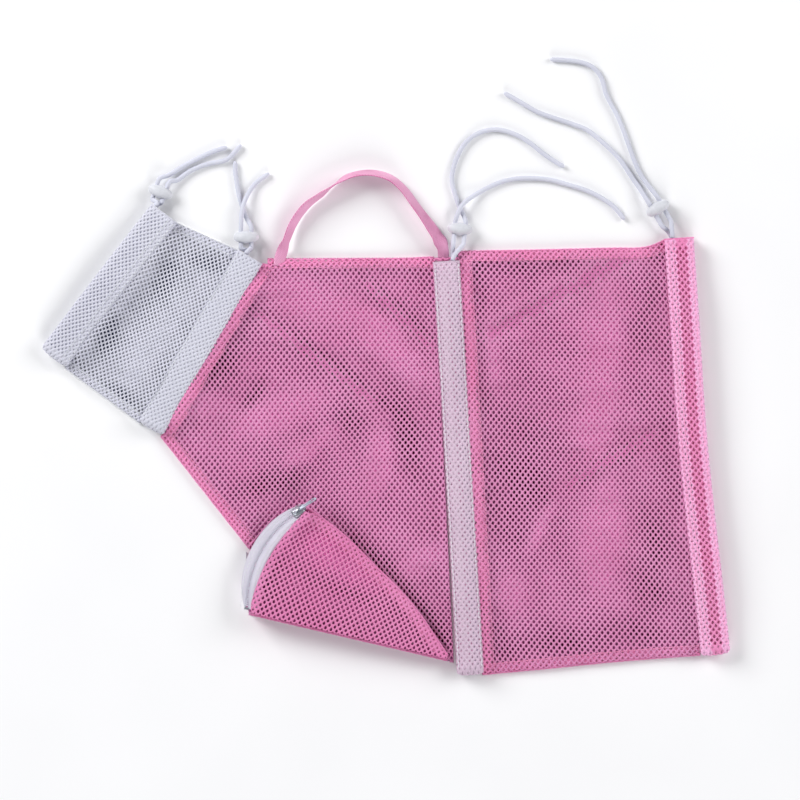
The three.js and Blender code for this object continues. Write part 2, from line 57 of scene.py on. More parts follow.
# Sizes in mm, as in the part.
SIDE, ROW = 2.165, 2.70                 # the net's holes: half their pitch along a row, and the rows' pitch
HOLE = (0.94, 1.24)                     # half width and half height of a hole
THREAD = 0.75                           # thickness of a net
CORD_RADIUS = 1.85
CORD_Z = 2.2                            # middle of a cord that lies on the surface
LOCK_Z, LEAD_HALF = 6.0, 4.8            # height of a lock's holes, and straight cord either side of it
BACK_RUN_Z, FRONT_RUN_Z, END_RUN_Z, RISE = 3.1, 14.2, 10.1, 60.0
CHANNEL_HALF = 2.85                     # half height of a channel
ZIP_CENTRE, ZIP_RADIUS, ZIP_SLOPE, ZIP_Z = np.array([-20.7, -142.5]), 87.0, 0.5, 15.8
ZIP_START, ZIP_END, ZIP_HALF = 118.5, 181.5, 8.0
ZIP_MIDDLE, ZIP_REACH = 148, 31         # degrees: where its net stops overlapping, and how far to either end
CAMERA_XY, CAMERA_Z = np.array([11.0, 17.5]), 2600.0
VIEW_WIDTH, SENSOR_WIDTH = 624.0, 36.0


# ---------------------------------------------------------------- small tools

def row(points):
    """Design millimetres to the row frame, in metres."""
    points = np.asarray(points, float)
    return (points + ORIGIN[: points.shape[-1]]) / 1000


def smooth(x, low, high):
    t = np.clip((np.asarray(x, float) - low) / (high - low), 0, 1)
    return t * t * (3 - 2 * t)


def mix(a, b, t):
    return a + (b - a) * t


def unit(v):
    v = np.asarray(v, float)
    return v / np.maximum(np.linalg.norm(v, axis=-1, keepdims=True), 1e-9)


def build(name, verts, faces, materials, body=None, replaces=(), slot=None, tints=None, uvs=None, uv="weave"):
    """A mesh object from design millimetres and arrays of 3 or 4 vertex numbers a face."""
    mesh = bpy.data.meshes.new(name)
    co = row(verts)
    faces = [np.asarray(f) for f in faces if len(f)]
    sizes = np.concatenate([np.full(len(f), f.shape[1]) for f in faces])
    mesh.vertices.add(len(co))
    mesh.vertices.foreach_set("co", co.astype(np.float32).ravel())
    mesh.loops.add(int(sizes.sum()))
    mesh.loops.foreach_set("vertex_index", np.concatenate([f.ravel() for f in faces]).astype(np.int32))
    mesh.polygons.add(len(sizes))
    mesh.polygons.foreach_set("loop_start", np.concatenate([[0], np.cumsum(sizes)[:-1]]).astype(np.int32))
    mesh.polygons.foreach_set("use_smooth", np.ones(len(sizes), bool))
    for material in materials if isinstance(materials, tuple) else (materials,):
        mesh.materials.append(material)
    if tints is not None:
        mesh.polygons.foreach_set("material_index", tints.astype(np.int32))
    if uvs is not None:
        layer = mesh.uv_layers.new(name=uv)
        layer.data.foreach_set("uv", uvs.astype(np.float32).ravel())
    mesh.update(calc_edges=True)
    mesh.validate()
    obj = bpy.data.objects.new(name, mesh)
    bpy.context.scene.collection.objects.link(obj)
    if replaces:
        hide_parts(*replaces)
    if body:
        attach(obj, body)
    return obj


def grid_faces(rows, columns, close=False):
    """Quads of a grid of points; close joins its last column to its first."""
    index = np.arange(rows * columns).reshape(rows, columns)
    if close:
        index = np.hstack([index, index[:, :1]])
    return np.stack([index[:-1, :-1], index[:-1, 1:], index[1:, 1:], index[1:, :-1]], -1).reshape(-1, 4)


def tube(centres, sides, ups, outline, capped=True):
    """Points and faces of a section (x, y) carried along centres; outline may have one section a station."""
    outline = np.asarray(outline, float)
    if outline.ndim == 2:
        outline = np.repeat(outline[None], len(centres), 0)
    points = centres[:, None] + outline[..., :1] * sides[:, None] + outline[..., 1:] * ups[:, None]
    n, m = points.shape[:2]
    faces = [grid_faces(n, m, close=True)]
    points = points.reshape(-1, 3)
    if capped:
        points = np.vstack([points, centres[0], centres[-1]])
        first, last = np.arange(m), np.arange(m) + (n - 1) * m
        faces.append(np.stack([np.full(m, n * m), np.roll(first, -1), first], -1))
        faces.append(np.stack([np.full(m, n * m + 1), last, np.roll(last, -1)], -1))
    return points, faces


def along_curve(points, spacing):
    """Points spaced evenly along a Catmull-Rom curve through points."""
    p = np.asarray(points, float)
    p = np.vstack([2 * p[0] - p[1], p, 2 * p[-1] - p[-2]])
    dense = []
    for a, b, c, d in zip(p[:-3], p[1:-2], p[2:-1], p[3:]):
        k = [0.0]
        for q, r in ((a, b), (b, c), (c, d)):
            k.append(k[-1] + max(np.linalg.norm(r - q), 1e-6) ** 0.5)
        t = np.linspace(k[1], k[2], 24, endpoint=False)[:, None]
        a1 = (k[1] - t) / (k[1] - k[0]) * a + (t - k[0]) / (k[1] - k[0]) * b
        a2 = (k[2] - t) / (k[2] - k[1]) * b + (t - k[1]) / (k[2] - k[1]) * c
        a3 = (k[3] - t) / (k[3] - k[2]) * c + (t - k[2]) / (k[3] - k[2]) * d
        b1 = (k[2] - t) / (k[2] - k[0]) * a1 + (t - k[0]) / (k[2] - k[0]) * a2
        b2 = (k[3] - t) / (k[3] - k[1]) * a2 + (t - k[1]) / (k[3] - k[1]) * a3
        dense.append((k[2] - t) / (k[2] - k[1]) * b1 + (t - k[1]) / (k[2] - k[1]) * b2)
    dense = np.vstack([*dense, p[-2]])
    length = np.concatenate([[0], np.cumsum(np.linalg.norm(np.diff(dense, axis=0), axis=1))])
    count = max(2, int(round(length[-1] / spacing)) + 1)
    s = np.linspace(0, length[-1], count)
    return np.stack([np.interp(s, length, dense[:, i]) for i in range(p.shape[1])], -1)


def lengths(points):
    return np.concatenate([[0], np.cumsum(np.linalg.norm(np.diff(points, axis=0), axis=1))])


# ---------------------------------------------------------------- camera

def camera():
    """Straight above the bag, far enough away to see it almost without perspective."""
    data = bpy.data.cameras.new("camera")
    data.sensor_width = SENSOR_WIDTH
    data.lens = SENSOR_WIDTH * CAMERA_Z / VIEW_WIDTH
    obj = bpy.data.objects.new("camera", data)
    obj.location = (*row(CAMERA_XY), CAMERA_Z / 1000)
    bpy.context.scene.collection.objects.link(obj)
    bpy.context.scene.camera = obj


camera()


# ---------------------------------------------------------------- materials

def nodes_of(name):
    material = bpy.data.materials.new(name)
    material.use_nodes = True
    tree = material.node_tree
    return material, tree, tree.nodes["Principled BSDF"]


def noise(tree, scale, detail=2.0, vector=None):
    node = tree.nodes.new("ShaderNodeTexNoise")
    node.inputs["Scale"].default_value = scale
    node.inputs["Detail"].default_value = detail
    if vector is None:
        vector = tree.nodes.new("ShaderNodeTexCoord").outputs["Object"]
    tree.links.new(vector, node.inputs["Vector"])
    return node.outputs["Fac"]


def ramp(tree, factor, stops):
    node = tree.nodes.new("ShaderNodeValToRGB")
    ends = node.color_ramp.elements
    ends[0].position, ends[0].color = stops[0][0], (*stops[0][1], 1)
    ends[1].position, ends[1].color = stops[-1][0], (*stops[-1][1], 1)
    for position, colour in stops[1:-1]:
        ends.new(position).color = (*colour, 1)
    tree.links.new(factor, node.inputs["Fac"])
    return node.outputs["Color"]


def maths(tree, operation, a, b=None):
    node = tree.nodes.new("ShaderNodeMath")
    node.operation = operation
    for socket, value in zip(node.inputs, (a, b)):
        if value is None:
            continue
        if isinstance(value, (int, float)):
            socket.default_value = value
        else:
            tree.links.new(value, socket)
    return node.outputs[0]


def bump(tree, shader, height, strength, distance):
    node = tree.nodes.new("ShaderNodeBump")
    node.inputs["Strength"].default_value = strength
    node.inputs["Distance"].default_value = distance
    tree.links.new(height, node.inputs["Height"])
    tree.links.new(node.outputs[0], shader.inputs["Normal"])


def fabric(name, dark, light, rough=0.8, sheen=0.25, yarn=2600.0, through=0.0, specular=0.35):
    """Knitted polyester: broad colour drift, fine yarn relief, a soft sheen and some light coming through."""
    material, tree, shader = nodes_of(name)
    drift = noise(tree, 24.0, 3.0)
    fibre = noise(tree, yarn, 2.0)
    factor = maths(tree, "ADD", maths(tree, "MULTIPLY", drift, 0.65), maths(tree, "MULTIPLY", fibre, 0.35))
    colour = ramp(tree, factor, [(0.3, dark), (0.7, light)])
    tree.links.new(colour, shader.inputs["Base Color"])
    roughness = maths(tree, "ADD", maths(tree, "MULTIPLY", fibre, 0.2), rough - 0.1)
    tree.links.new(roughness, shader.inputs["Roughness"])
    shader.inputs["Sheen Weight"].default_value = sheen
    shader.inputs["Sheen Roughness"].default_value = 0.4
    shader.inputs["Specular IOR Level"].default_value = specular
    bump(tree, shader, fibre, 0.35, 0.0002)
    if through:
        glow = tree.nodes.new("ShaderNodeBsdfTranslucent")
        blend = tree.nodes.new("ShaderNodeMixShader")
        blend.inputs["Fac"].default_value = through
        tree.links.new(colour, glow.inputs["Color"])
        tree.links.new(shader.outputs[0], blend.inputs[1])
        tree.links.new(glow.outputs[0], blend.inputs[2])
        tree.links.new(blend.outputs[0], tree.nodes["Material Output"].inputs["Surface"])
    return material


def plastic(name, colour, rough, specular=0.5, metallic=0.0, grain=400.0):
    material, tree, shader = nodes_of(name)
    grey = noise(tree, grain, 3.0)
    darker = tuple(c * 0.93 for c in colour)
    tree.links.new(ramp(tree, grey, [(0.35, darker), (0.65, colour)]), shader.inputs["Base Color"])
    roughness = maths(tree, "ADD", maths(tree, "MULTIPLY", grey, 0.12), rough - 0.06)
    tree.links.new(roughness, shader.inputs["Roughness"])
    shader.inputs["Specular IOR Level"].default_value = specular
    shader.inputs["Metallic"].default_value = metallic
    bump(tree, shader, grey, 0.08, 0.0003)
    return material


def woven(name, dark, light, ribs, across):
    """Webbing or tape: ribs along it, and a finer weave across, both read from its own map."""
    material, tree, shader = nodes_of(name)
    uv = tree.nodes.new("ShaderNodeUVMap")
    uv.uv_map = "weave"
    split = tree.nodes.new("ShaderNodeSeparateXYZ")
    tree.links.new(uv.outputs[0], split.inputs[0])
    turn = 2 * math.pi
    rib = maths(tree, "SINE", maths(tree, "MULTIPLY", split.outputs[1], turn * ribs))
    shift = maths(tree, "MULTIPLY", maths(tree, "SIGN", rib), 0.25)
    pick = maths(tree, "MULTIPLY", split.outputs[0], across)
    pick = maths(tree, "SINE", maths(tree, "MULTIPLY", maths(tree, "ADD", pick, shift), turn))
    height = maths(tree, "ADD", maths(tree, "MULTIPLY", pick, 0.5), maths(tree, "ABSOLUTE", rib))
    drift = noise(tree, 40.0, 3.0)
    factor = maths(tree, "ADD", maths(tree, "MULTIPLY", height, 0.25), maths(tree, "MULTIPLY", drift, 0.7))
    tree.links.new(ramp(tree, factor, [(0.2, dark), (0.75, light)]), shader.inputs["Base Color"])
    roughness = maths(tree, "ADD", maths(tree, "MULTIPLY", height, -0.08), 0.72)
    tree.links.new(roughness, shader.inputs["Roughness"])
    shader.inputs["Sheen Weight"].default_value = 0.3
    shader.inputs["Sheen Roughness"].default_value = 0.35
    bump(tree, shader, height, 0.5, 0.0003)
    return material


def shades(name, light, dark, count=5):
    """The net seen through the holes of the layer above it: from well lit to deep shade."""
    colours = [tuple(mix(np.array(light), np.array(dark), (i / (count - 1)) ** 0.8)) for i in range(count)]
    return [fabric(f"{name}_{i}", tuple(0.86 * v for v in c), c, sheen=0.0, specular=0.05)
            for i, c in enumerate(colours)]


PINK = fabric("pink_net", (0.88, 0.33, 0.62), (0.98, 0.45, 0.76), through=0.3)
# Painted valley shade: a darker copy of the front pink, for cells along creases.
PINK_CREASE_SHADE = fabric("pink_net_crease_shade", (0.76, 0.22, 0.49), (0.87, 0.30, 0.60), through=0.2)
PINK_BACK = fabric("pink_net_back", (0.95, 0.42, 0.70), (0.99, 0.54, 0.82), sheen=0.1)
# Painted shade: lit to deeply shaded copies of one pink, for the back layer's inner faces seen through the
# front's holes.
PINK_INSIDE_SHADES = shades("pink_inside_shade", (0.99, 0.29, 0.73), (0.09, 0.0, 0.04))
PINK_HEM = fabric("pink_hem", (0.96, 0.28, 0.57), (0.99, 0.38, 0.68), through=0.15)
PINK_FLAP = fabric("pink_flap", (0.90, 0.27, 0.57), (0.98, 0.37, 0.68), through=0.25)
PINK_BAND = fabric("pink_band_back", (0.96, 0.40, 0.66), (0.99, 0.50, 0.76), sheen=0.1)
WHITE = fabric("white_net", (0.80, 0.80, 0.90), (0.88, 0.88, 0.97), sheen=0.1, through=0.25)
WHITE_BACK = fabric("white_net_back", (0.90, 0.91, 0.95), (0.97, 0.97, 0.99), sheen=0.1)
# Painted shade: lit to deeply shaded copies of the white, for the head cover's back layer.
WHITE_INSIDE_SHADES = shades("white_inside_shade", (0.96, 0.96, 1.0), (0.07, 0.08, 0.14))
WHITE_BAND = fabric("white_band", (0.90, 0.73, 0.87), (0.97, 0.82, 0.94), sheen=0.12, through=0.4)
CORD_WHITE = fabric("white_cord", (0.60, 0.61, 0.71), (0.73, 0.74, 0.84), sheen=0.1, yarn=3500.0)
STITCH_WHITE = fabric("stitch_white", (0.74, 0.76, 0.80), (0.86, 0.87, 0.90))
STITCH_PINK = fabric("stitch_pink", (0.90, 0.30, 0.52), (0.98, 0.42, 0.66))
SILICONE = plastic("silicone", (0.70, 0.71, 0.76), 0.45, 0.4)
COIL = plastic("coil", (0.74, 0.73, 0.83), 0.4)
METAL = plastic("slider_metal", (0.55, 0.58, 0.64), 0.32, 0.5, 0.85)
PULL_GREY = plastic("pull_grey", (0.42, 0.46, 0.55), 0.45, 0.5, 0.3)
WEBBING = woven("webbing", (0.60, 0.15, 0.34), (0.99, 0.50, 0.75), 6.0, 420.0)
TAPE = woven("tape", (0.66, 0.63, 0.74), (0.82, 0.79, 0.89), 9.0, 700.0)


# ---------------------------------------------------------------- the part's own lines

def beside(a, b, along, aside):
    a, b = np.asarray(a, float), np.asarray(b, float)
    d = unit(b - a)
    return a + d * along + np.array([-d[1], d[0]]) * aside


NOSE_TOP, NOSE_BOTTOM = np.array([-182, 170.0]), np.array([-269, 57.0])
NECK_TOP, NECK_BOTTOM = np.array([-96, 123.0]), np.array([-174, -11.0])
NOSE_LONG, NECK_LONG = np.linalg.norm(NOSE_BOTTOM - NOSE_TOP), np.linalg.norm(NECK_BOTTOM - NECK_TOP)


class Channel:
    """A drawstring channel: a soft flat tube down the front, round the bottom edge and back up the back."""

    bend = (END_RUN_Z - BACK_RUN_Z) / 2

    def __init__(self, axis, width, cord_aside, pitch=1.0):
        self.line = along_curve(axis, 1.0)
        self.s = lengths(self.line)
        self.length = self.s[-1]
        self.total = 2 * self.length + math.pi * self.bend
        self.cord_aside = cord_aside
        turn = np.linspace(0, 2 * math.pi, 721)
        c, s = np.cos(turn), np.sin(turn)
        x = (width / 2 - 0.3) * np.sign(c) * np.abs(c) ** 0.75
        y = CHANNEL_HALF * np.sign(s) * np.abs(s) ** 0.75
        self.outline = np.stack([x, y], -1)
        self.arc = lengths(self.outline)
        self.pitch = pitch
        self.around = 2 * int(round(self.arc[-1] / SIDE / pitch / 2))
        self.girth = self.around * SIDE * pitch

    def at(self, along):
        along = np.clip(along, 0, self.length)
        p = np.stack([np.interp(along, self.s, self.line[:, i]) for i in (0, 1)], -1)
        d = np.gradient(self.line, axis=0)
        return p, unit(np.stack([np.interp(along, self.s, d[:, i]) for i in (0, 1)], -1))

    def front_z(self, along):
        return mix(END_RUN_Z, FRONT_RUN_Z, smooth(np.minimum(along, self.length - along), 0, RISE))

    def frame(self, s):
        """Centre, sideways and outward directions at distance s down the front and up the back."""
        s = np.asarray(s, float)
        back = self.total - s
        angle = np.clip((s - self.length) / self.bend, 0, math.pi)
        p, d = self.at(np.where(s < self.total / 2, s, back))
        lift = np.where(s < self.length, self.front_z(np.clip(s, 0, self.length)),
                        BACK_RUN_Z + self.bend + self.bend * np.cos(angle))
        out = self.bend * np.sin(angle)[..., None] * d
        centre = np.concatenate([p + out, lift[..., None]], -1)
        flat = np.zeros(s.shape + (1,))
        side = np.concatenate([-d[..., 1:], d[..., :1], flat], -1)
        up = np.concatenate([d * np.sin(angle)[..., None], np.cos(angle)[..., None]], -1)
        return centre, side, up

    def section(self, arc):
        """Point and outward direction at a distance round the tube."""
        share = ((arc + SIDE * self.pitch / 2) / self.girth % 1) * self.arc[-1]
        p = np.stack([np.interp(share, self.arc, self.outline[:, i]) for i in (0, 1)], -1)
        after, before = (share + 0.8) % self.arc[-1], (share - 0.8) % self.arc[-1]
        q = np.stack([np.interp(after, self.arc, self.outline[:, i]) for i in (0, 1)], -1)
        o = np.stack([np.interp(before, self.arc, self.outline[:, i]) for i in (0, 1)], -1)
        t = unit(q - o)
        return p, np.stack([t[..., 1], -t[..., 0]], -1)

    def surface(self, flat, h):
        centre, side, up = self.frame(flat[:, 1])
        p, n = self.section(flat[:, 0])
        p = p + n * h[:, None]
        return centre + side * p[:, :1] + up * p[:, 1:]

    def inside_line(self, aside, spacing=2.0):
        s = np.linspace(0, self.total, int(self.total / spacing))
        centre, side, _ = self.frame(s)
        return centre + side * aside


def nose_axis():
    return [beside(NOSE_TOP, NOSE_BOTTOM, s, 12.5) for s in (0, NOSE_LONG - 7)]


def neck_axis():
    return [beside(NECK_TOP, NECK_BOTTOM, s, -11) for s in (0, NECK_LONG - 7)]


CHANNELS = {
    "nose": Channel(nose_axis(), 25, -9, 0.84),
    "neck": Channel(neck_axis(), 22, -4, 0.84),
    "waist": Channel([(47, 125), (65.5, -190)], 21, 5),
    "tail": Channel([(227.8, 143.2), (232, 77), (238.5, -19), (255.8, -174.4)], 23, -5),
}


# ---------------------------------------------------------------- cords

# A lock's middle, the direction its cords run, how far it slides each way, which hole takes the front run,
# and each tail's own points past the lock. Two numbers mean a point on the surface.
LOCKS = {
    "nose": ((-175.5, 179.5), (0.35, 0.937), 2, 5, -1, {
        -1: [(-169.2, 192.5, 3), (-159.7, 198.8), (-147.7, 205.2), (-135.8, 210.8), (-129.1, 213.2),
             (-123.6, 214.4)],
        1: [(-162.6, 188.6, 3), (-153.7, 195.4), (-141.7, 200.6), (-133.8, 202.6), (-127, 203.4), (-122, 206),
            (-117.5, 211), (-112.7, 216.5)]}),
    "neck": ((-108.8, 144.3), (0, 1), 3, 3, 1, {
        -1: [(-112.4, 161, 7.2), (-111.3, 168, 7.6), (-108.3, 176, 4.6), (-102.8, 185, 2.4), (-96.6, 190.4),
             (-90.9, 194.2)],
        1: [(-109, 160, 3.2), (-112, 168), (-114.6, 177), (-116.4, 188.4), (-117.5, 196), (-117.5, 203.6)]}),
    "waist": ((57.6, 150.6), (0.1, 0.995), 6, 1, 1, {
        -1: [(56.4, 164.2, 7.2), (59, 169, 7.6), (64.4, 173.8, 5), (74, 180), (85, 185.6), (96, 189.2),
             (112, 190.4), (129, 189), (143, 185), (156, 181), (168, 175), (178, 168), (186, 158)],
        1: [(60, 162.6, 3.4), (56.8, 169), (53.8, 178), (51.2, 189), (53, 200), (57, 210), (62, 218),
            (70, 224.5), (79, 227.8), (87, 228.4), (96, 226.4), (106, 222), (115, 216), (121.5, 210.5),
            (131, 204), (139, 199)]}),
    "tail": ((211.5, 166.8), (-0.5, 0.866), 8, 5, 1, {
        -1: [(196, 185, 2.6), (191, 192), (184, 203), (176, 212), (166, 221), (157, 228), (146, 232.4),
             (132, 237), (118, 242), (106, 249), (92, 257)],
        1: [(202.6, 187, 2.6), (197, 196), (192.5, 207), (188.6, 218), (184.6, 229), (180, 240), (174.5, 250),
            (171, 257), (169.6, 264), (167, 271), (162, 276.5), (155, 280), (144, 282), (128, 283)]}),
}


def tail_line(key, side):
    """Out of the channel's mouth, straight through the lock's hole, then along the surface."""
    centre, axis, inward, outward, front, routes = LOCKS[key]
    channel = CHANNELS[key]
    p, d = channel.at(0.0)
    mouth = p + np.array([-d[1], d[0]]) * channel.cord_aside
    z = END_RUN_Z if side == front else BACK_RUN_Z
    a = unit(axis)
    hole = np.asarray(centre) + side * 4 * np.array([a[1], -a[0]])
    points = [(*(mouth - d * s), z) for s in (0.6, 3)]
    start, end = -(LEAD_HALF + inward), LEAD_HALF + outward
    points += [(*(hole + a * s), LOCK_Z) for s in (start - 0.6, start + 1, 0, end)]
    points += [(*q, CORD_Z)[:3] for q in routes[side]]
    line = along_curve(points, 0.8)
    eased = np.pad(line, ((9, 9), (0, 0)), mode="reflect", reflect_type="odd")
    weights = np.hanning(21)[1:-1]
    eased = np.stack([np.convolve(eased[:, i], weights / weights.sum(), "valid") for i in range(3)], -1)
    along = (line[:, :2] - hole) @ a
    share = smooth(np.maximum(along - end, start - 0.6 - along), 0, 8)[:, None]
    return mix(line, eased, share)


def cord_mesh(name, line, replaces, tips=(False, False)):
    """A round braided cord: strands cross over it both ways, and a cut tip is melted to a blunt point."""
    tangent = unit(np.gradient(line, axis=0))
    side = unit(np.cross(tangent, (0, 0, 1)))
    up = np.cross(side, tangent)
    s = lengths(line)[:, None]
    turn = np.linspace(0, 2 * math.pi, 20, endpoint=False)[None]
    braid = np.maximum(np.cos(5 * turn + s * 1.9), np.cos(5 * turn - s * 1.9))
    radius = CORD_RADIUS - 0.16 + 0.16 * braid
    for tip, away in zip(tips, (s, s[-1] - s)):
        if tip:
            radius = radius * np.sqrt(np.clip(1 - (1 - np.clip(away / 3.0, 0, 1)) ** 2, 0.12, 1))
    outline = np.stack([radius * np.cos(turn), radius * np.sin(turn)], -1)
    points, faces = tube(line, side, up, outline)
    return build(name, points, faces, CORD_WHITE, "bag", replaces, "white_cord")


def cords():
    for key, channel in CHANNELS.items():
        inside = channel.inside_line(channel.cord_aside, 1.2)
        cord_mesh(f"{key}_cord_inside", inside, [f"{key}_cord_in_channel"])
        for side, word in ((-1, "left"), (1, "right")):
            line = tail_line(key, side)
            node = f"{key}_cord_tail_{word}"
            obj = cord_mesh(f"{key}_cord_{word}", line, [node], (False, True))
            path = row(line)
            round(float(lengths(line)[-1]) / 1000, 3)


cords()


# ---------------------------------------------------------------- flat regions and heights

def line_distance(points, line):
    """Distance from each point to a polyline, and the direction to it."""
    points, line = np.asarray(points, float), np.asarray(line, float)
    best = np.full(len(points), 1e9)
    toward = np.zeros_like(points)
    for a, b in zip(line[:-1], line[1:]):
        d = b - a
        t = np.clip(((points - a) @ d) / (d @ d), 0, 1)
        away = a + t[:, None] * d - points
        distance = np.linalg.norm(away, axis=1)
        closer = distance < best
        best = np.where(closer, distance, best)
        toward[closer] = away[closer]
    return best, toward / np.maximum(best, 1e-9)[:, None]


class Region:
    """A flat outline; depth is the distance inside it."""

    def __init__(self, outline):
        self.outline = np.asarray(outline, float)
        self.loop = np.vstack([self.outline, self.outline[:1]])
        x, y = self.loop.T
        self.area = abs((x[:-1] * y[1:] - x[1:] * y[:-1]).sum()) / 2
        self.low, self.high = self.outline.min(0), self.outline.max(0)

    def depth(self, points):
        distance, toward = line_distance(points, self.loop)
        x, y = points.T
        odd = np.zeros(len(points), bool)
        for (ax, ay), (bx, by) in zip(self.loop[:-1], self.loop[1:]):
            crosses = (ay > y) != (by > y)
            odd ^= crosses & (x < (bx - ax) * (y - ay) / (by - ay + 1e-12) + ax)
        return np.where(odd, distance, -distance), np.where(odd[:, None], toward, -toward)

    def squeeze(self, points, room=1.5):
        """Points nearer the edge than room, or past it, are pressed together just inside it."""
        depth, outward = self.depth(points)
        pressed = room * np.exp(np.minimum(depth - room, 0) / room)
        return points + outward * np.where(depth < room, depth - pressed, 0)[:, None]


class Skin:
    """A height field on a grid, with its slope."""

    def __init__(self, low, heights, step):
        self.low, self.step = np.asarray(low, float), step
        self.grid = heights
        self.slopes = np.gradient(heights, step)

    def read(self, grid, points):
        u = (points - self.low) / self.step
        u = np.clip(u, 0, np.array(grid.shape) - 1.001)
        i, j = np.floor(u).astype(int).T
        a, b = (u - np.floor(u)).T
        return ((1 - a) * (1 - b) * grid[i, j] + a * (1 - b) * grid[i + 1, j]
                + (1 - a) * b * grid[i, j + 1] + a * b * grid[i + 1, j + 1])

    def __call__(self, points):
        return self.read(self.grid, points)

    def place(self, points, h):
        z = self(points)
        normal = unit(np.stack([-self.read(self.slopes[0], points), -self.read(self.slopes[1], points),
                                np.ones(len(points))], -1))
        return np.column_stack([points, z]) + normal * h[:, None]


def grid_points(low, high, step):
    xs, ys = np.arange(low[0], high[0] + step, step), np.arange(low[1], high[1] + step, step)
    x, y = np.meshgrid(xs, ys, indexing="ij")
    return np.column_stack([x.ravel(), y.ravel()]), x.shape


def blurred(grid, times):
    for _ in range(times):
        p = np.pad(grid, 1, mode="edge")
        grid = (p[1:-1, 1:-1] * 2 + p[:-2, 1:-1] + p[2:, 1:-1] + p[1:-1, :-2] + p[1:-1, 2:]) / 6
    return grid


def cad_heights(node, low, high, step):
    """The upper face of a CAD node on a grid, carried on past its edges and smoothed."""
    mesh = NODES[node].data
    tree = BVHTree.FromPolygons([v.co for v in mesh.vertices], [p.vertices for p in mesh.polygons])
    points, shape = grid_points(low, high, step)
    z = np.full(len(points), np.nan)
    for i, p in enumerate(row(points)):
        hit = tree.ray_cast((p[0], p[1], 1.0), (0, 0, -1), 2.0)[0]
        if hit is not None:
            z[i] = hit[2] * 1000
    z = z.reshape(shape)
    while np.isnan(z).any():
        p = np.pad(z, 1, constant_values=np.nan)
        near = np.stack([p[:-2, 1:-1], p[2:, 1:-1], p[1:-1, :-2], p[1:-1, 2:]])
        count = (~np.isnan(near)).sum(0)
        mean = np.nansum(near, 0) / np.maximum(count, 1)
        z = np.where(np.isnan(z) & (count > 0), mean, z)
    return blurred(z, 4)


def folds(points, table):
    """Soft ridges and valleys: each has its two ends, half width and height."""
    z = np.zeros(len(points))
    for a, b, width, height in table:
        distance, _ = line_distance(points, [a, b])
        z += height * np.exp(-((distance / width) ** 2))
    return z


def grid_mesh(name, points, shape, heights, used=None):
    """A plain quad mesh over a grid of points, in metres; used picks its points."""
    n, m = shape
    faces = grid_faces(n, m)
    if used is not None:
        faces = faces[used[faces].all(1)]
        kept = np.unique(faces)
        renumber = np.zeros(len(points), int)
        renumber[kept] = np.arange(len(kept))
        faces, points, heights = renumber[faces], points[kept], heights[kept]
    mesh = bpy.data.meshes.new(name)
    mesh.from_pydata(row(np.column_stack([points, heights])).tolist(), [], faces.tolist())
    obj = bpy.data.objects.new(name, mesh)
    bpy.context.scene.collection.objects.link(obj)
    return obj, (kept if used is not None else np.arange(n * m))


SETTLE_FRAMES, SETTLE_DROP, SETTLE_EXCESS = 26, 2.2, 0.022
SETTLE_GAP = 0.0004


def settle(region, points, shape, heights):
    """Lets the front layer down as cloth cut a little too large, held round its edge, on a support just below
    it, and returns the heights that it comes to."""
    depth = region.depth(points)[0]
    support, _ = grid_mesh("support", points, shape, heights - SETTLE_DROP)
    support.modifiers.new("collision", "COLLISION")
    support.collision.thickness_outer = SETTLE_GAP
    cloth, kept = grid_mesh("cloth", points, shape, heights, depth > 1)
    held = cloth.vertex_groups.new(name="held")
    for i, k in enumerate(kept):
        held.add([i], float(1 - smooth(depth[k], 5, 10)), "REPLACE")
    settings = cloth.modifiers.new("cloth", "CLOTH").settings
    settings.quality, settings.mass = 5, 0.12
    settings.tension_stiffness, settings.compression_stiffness, settings.shear_stiffness = 12, 12, 3
    settings.bending_stiffness = 0.15
    settings.shrink_min = settings.shrink_max = -SETTLE_EXCESS
    settings.vertex_group_mass = "held"
    collision = cloth.modifiers["cloth"].collision_settings
    collision.distance_min, collision.use_self_collision = SETTLE_GAP, False
    for frame_number in range(1, SETTLE_FRAMES + 1):
        bpy.context.scene.frame_set(frame_number)
    result = cloth.evaluated_get(bpy.context.evaluated_depsgraph_get()).to_mesh()
    settled = heights.copy()
    settled[kept] = [v.co.z * 1000 for v in result.vertices]
    bpy.context.scene.frame_set(1)
    for obj in (cloth, support):
        bpy.data.objects.remove(obj)
    return mix(heights, np.clip(settled, 2.0, heights + 3), smooth(depth, 4, 14))


def front_skin(node, region, free_edges, table, step=2.5):
    """The front layer's middle: the CAD's, with soft folds, falling to the back layer at a sewn edge."""
    low, high = region.low - 12, region.high + 12
    z = cad_heights(node, low, high, step) - 0.6
    points, shape = grid_points(low, high, step)
    away = np.full(len(points), 1e9)
    for edge in free_edges:
        away = np.minimum(away, line_distance(points, edge)[0])
    inside = smooth(region.depth(points)[0], 0, 14)
    z = z.ravel() + 1.7 * folds(points, table) * inside
    for channel in CHANNELS.values():
        z += 1.7 * np.exp(-((line_distance(points, channel.line[::8])[0] - 11.5) / 8) ** 2)
    z = mix(2.1, z, np.sqrt(smooth(away, -4, 13)))
    coarse, coarse_shape = grid_points(low, high, 2 * step)
    start = Skin(low, z.reshape(shape), step)(coarse)
    settled = settle(region, coarse, coarse_shape, start)
    z = Skin(low, settled.reshape(coarse_shape), 2 * step)(points)
    return Skin(low, blurred(z.reshape(shape), 2), step)


# ---------------------------------------------------------------- net

OUTLINE = np.array([(2, 0), (1, 1), (0, 2), (-1, 1), (-2, 0), (-1, -1), (0, -2), (1, -1)])
RIM_TURN = np.linspace(0, 2 * math.pi, 8, endpoint=False)
RIM = np.stack([HOLE[0] * np.cos(RIM_TURN), HOLE[1] * np.sin(RIM_TURN)], -1)


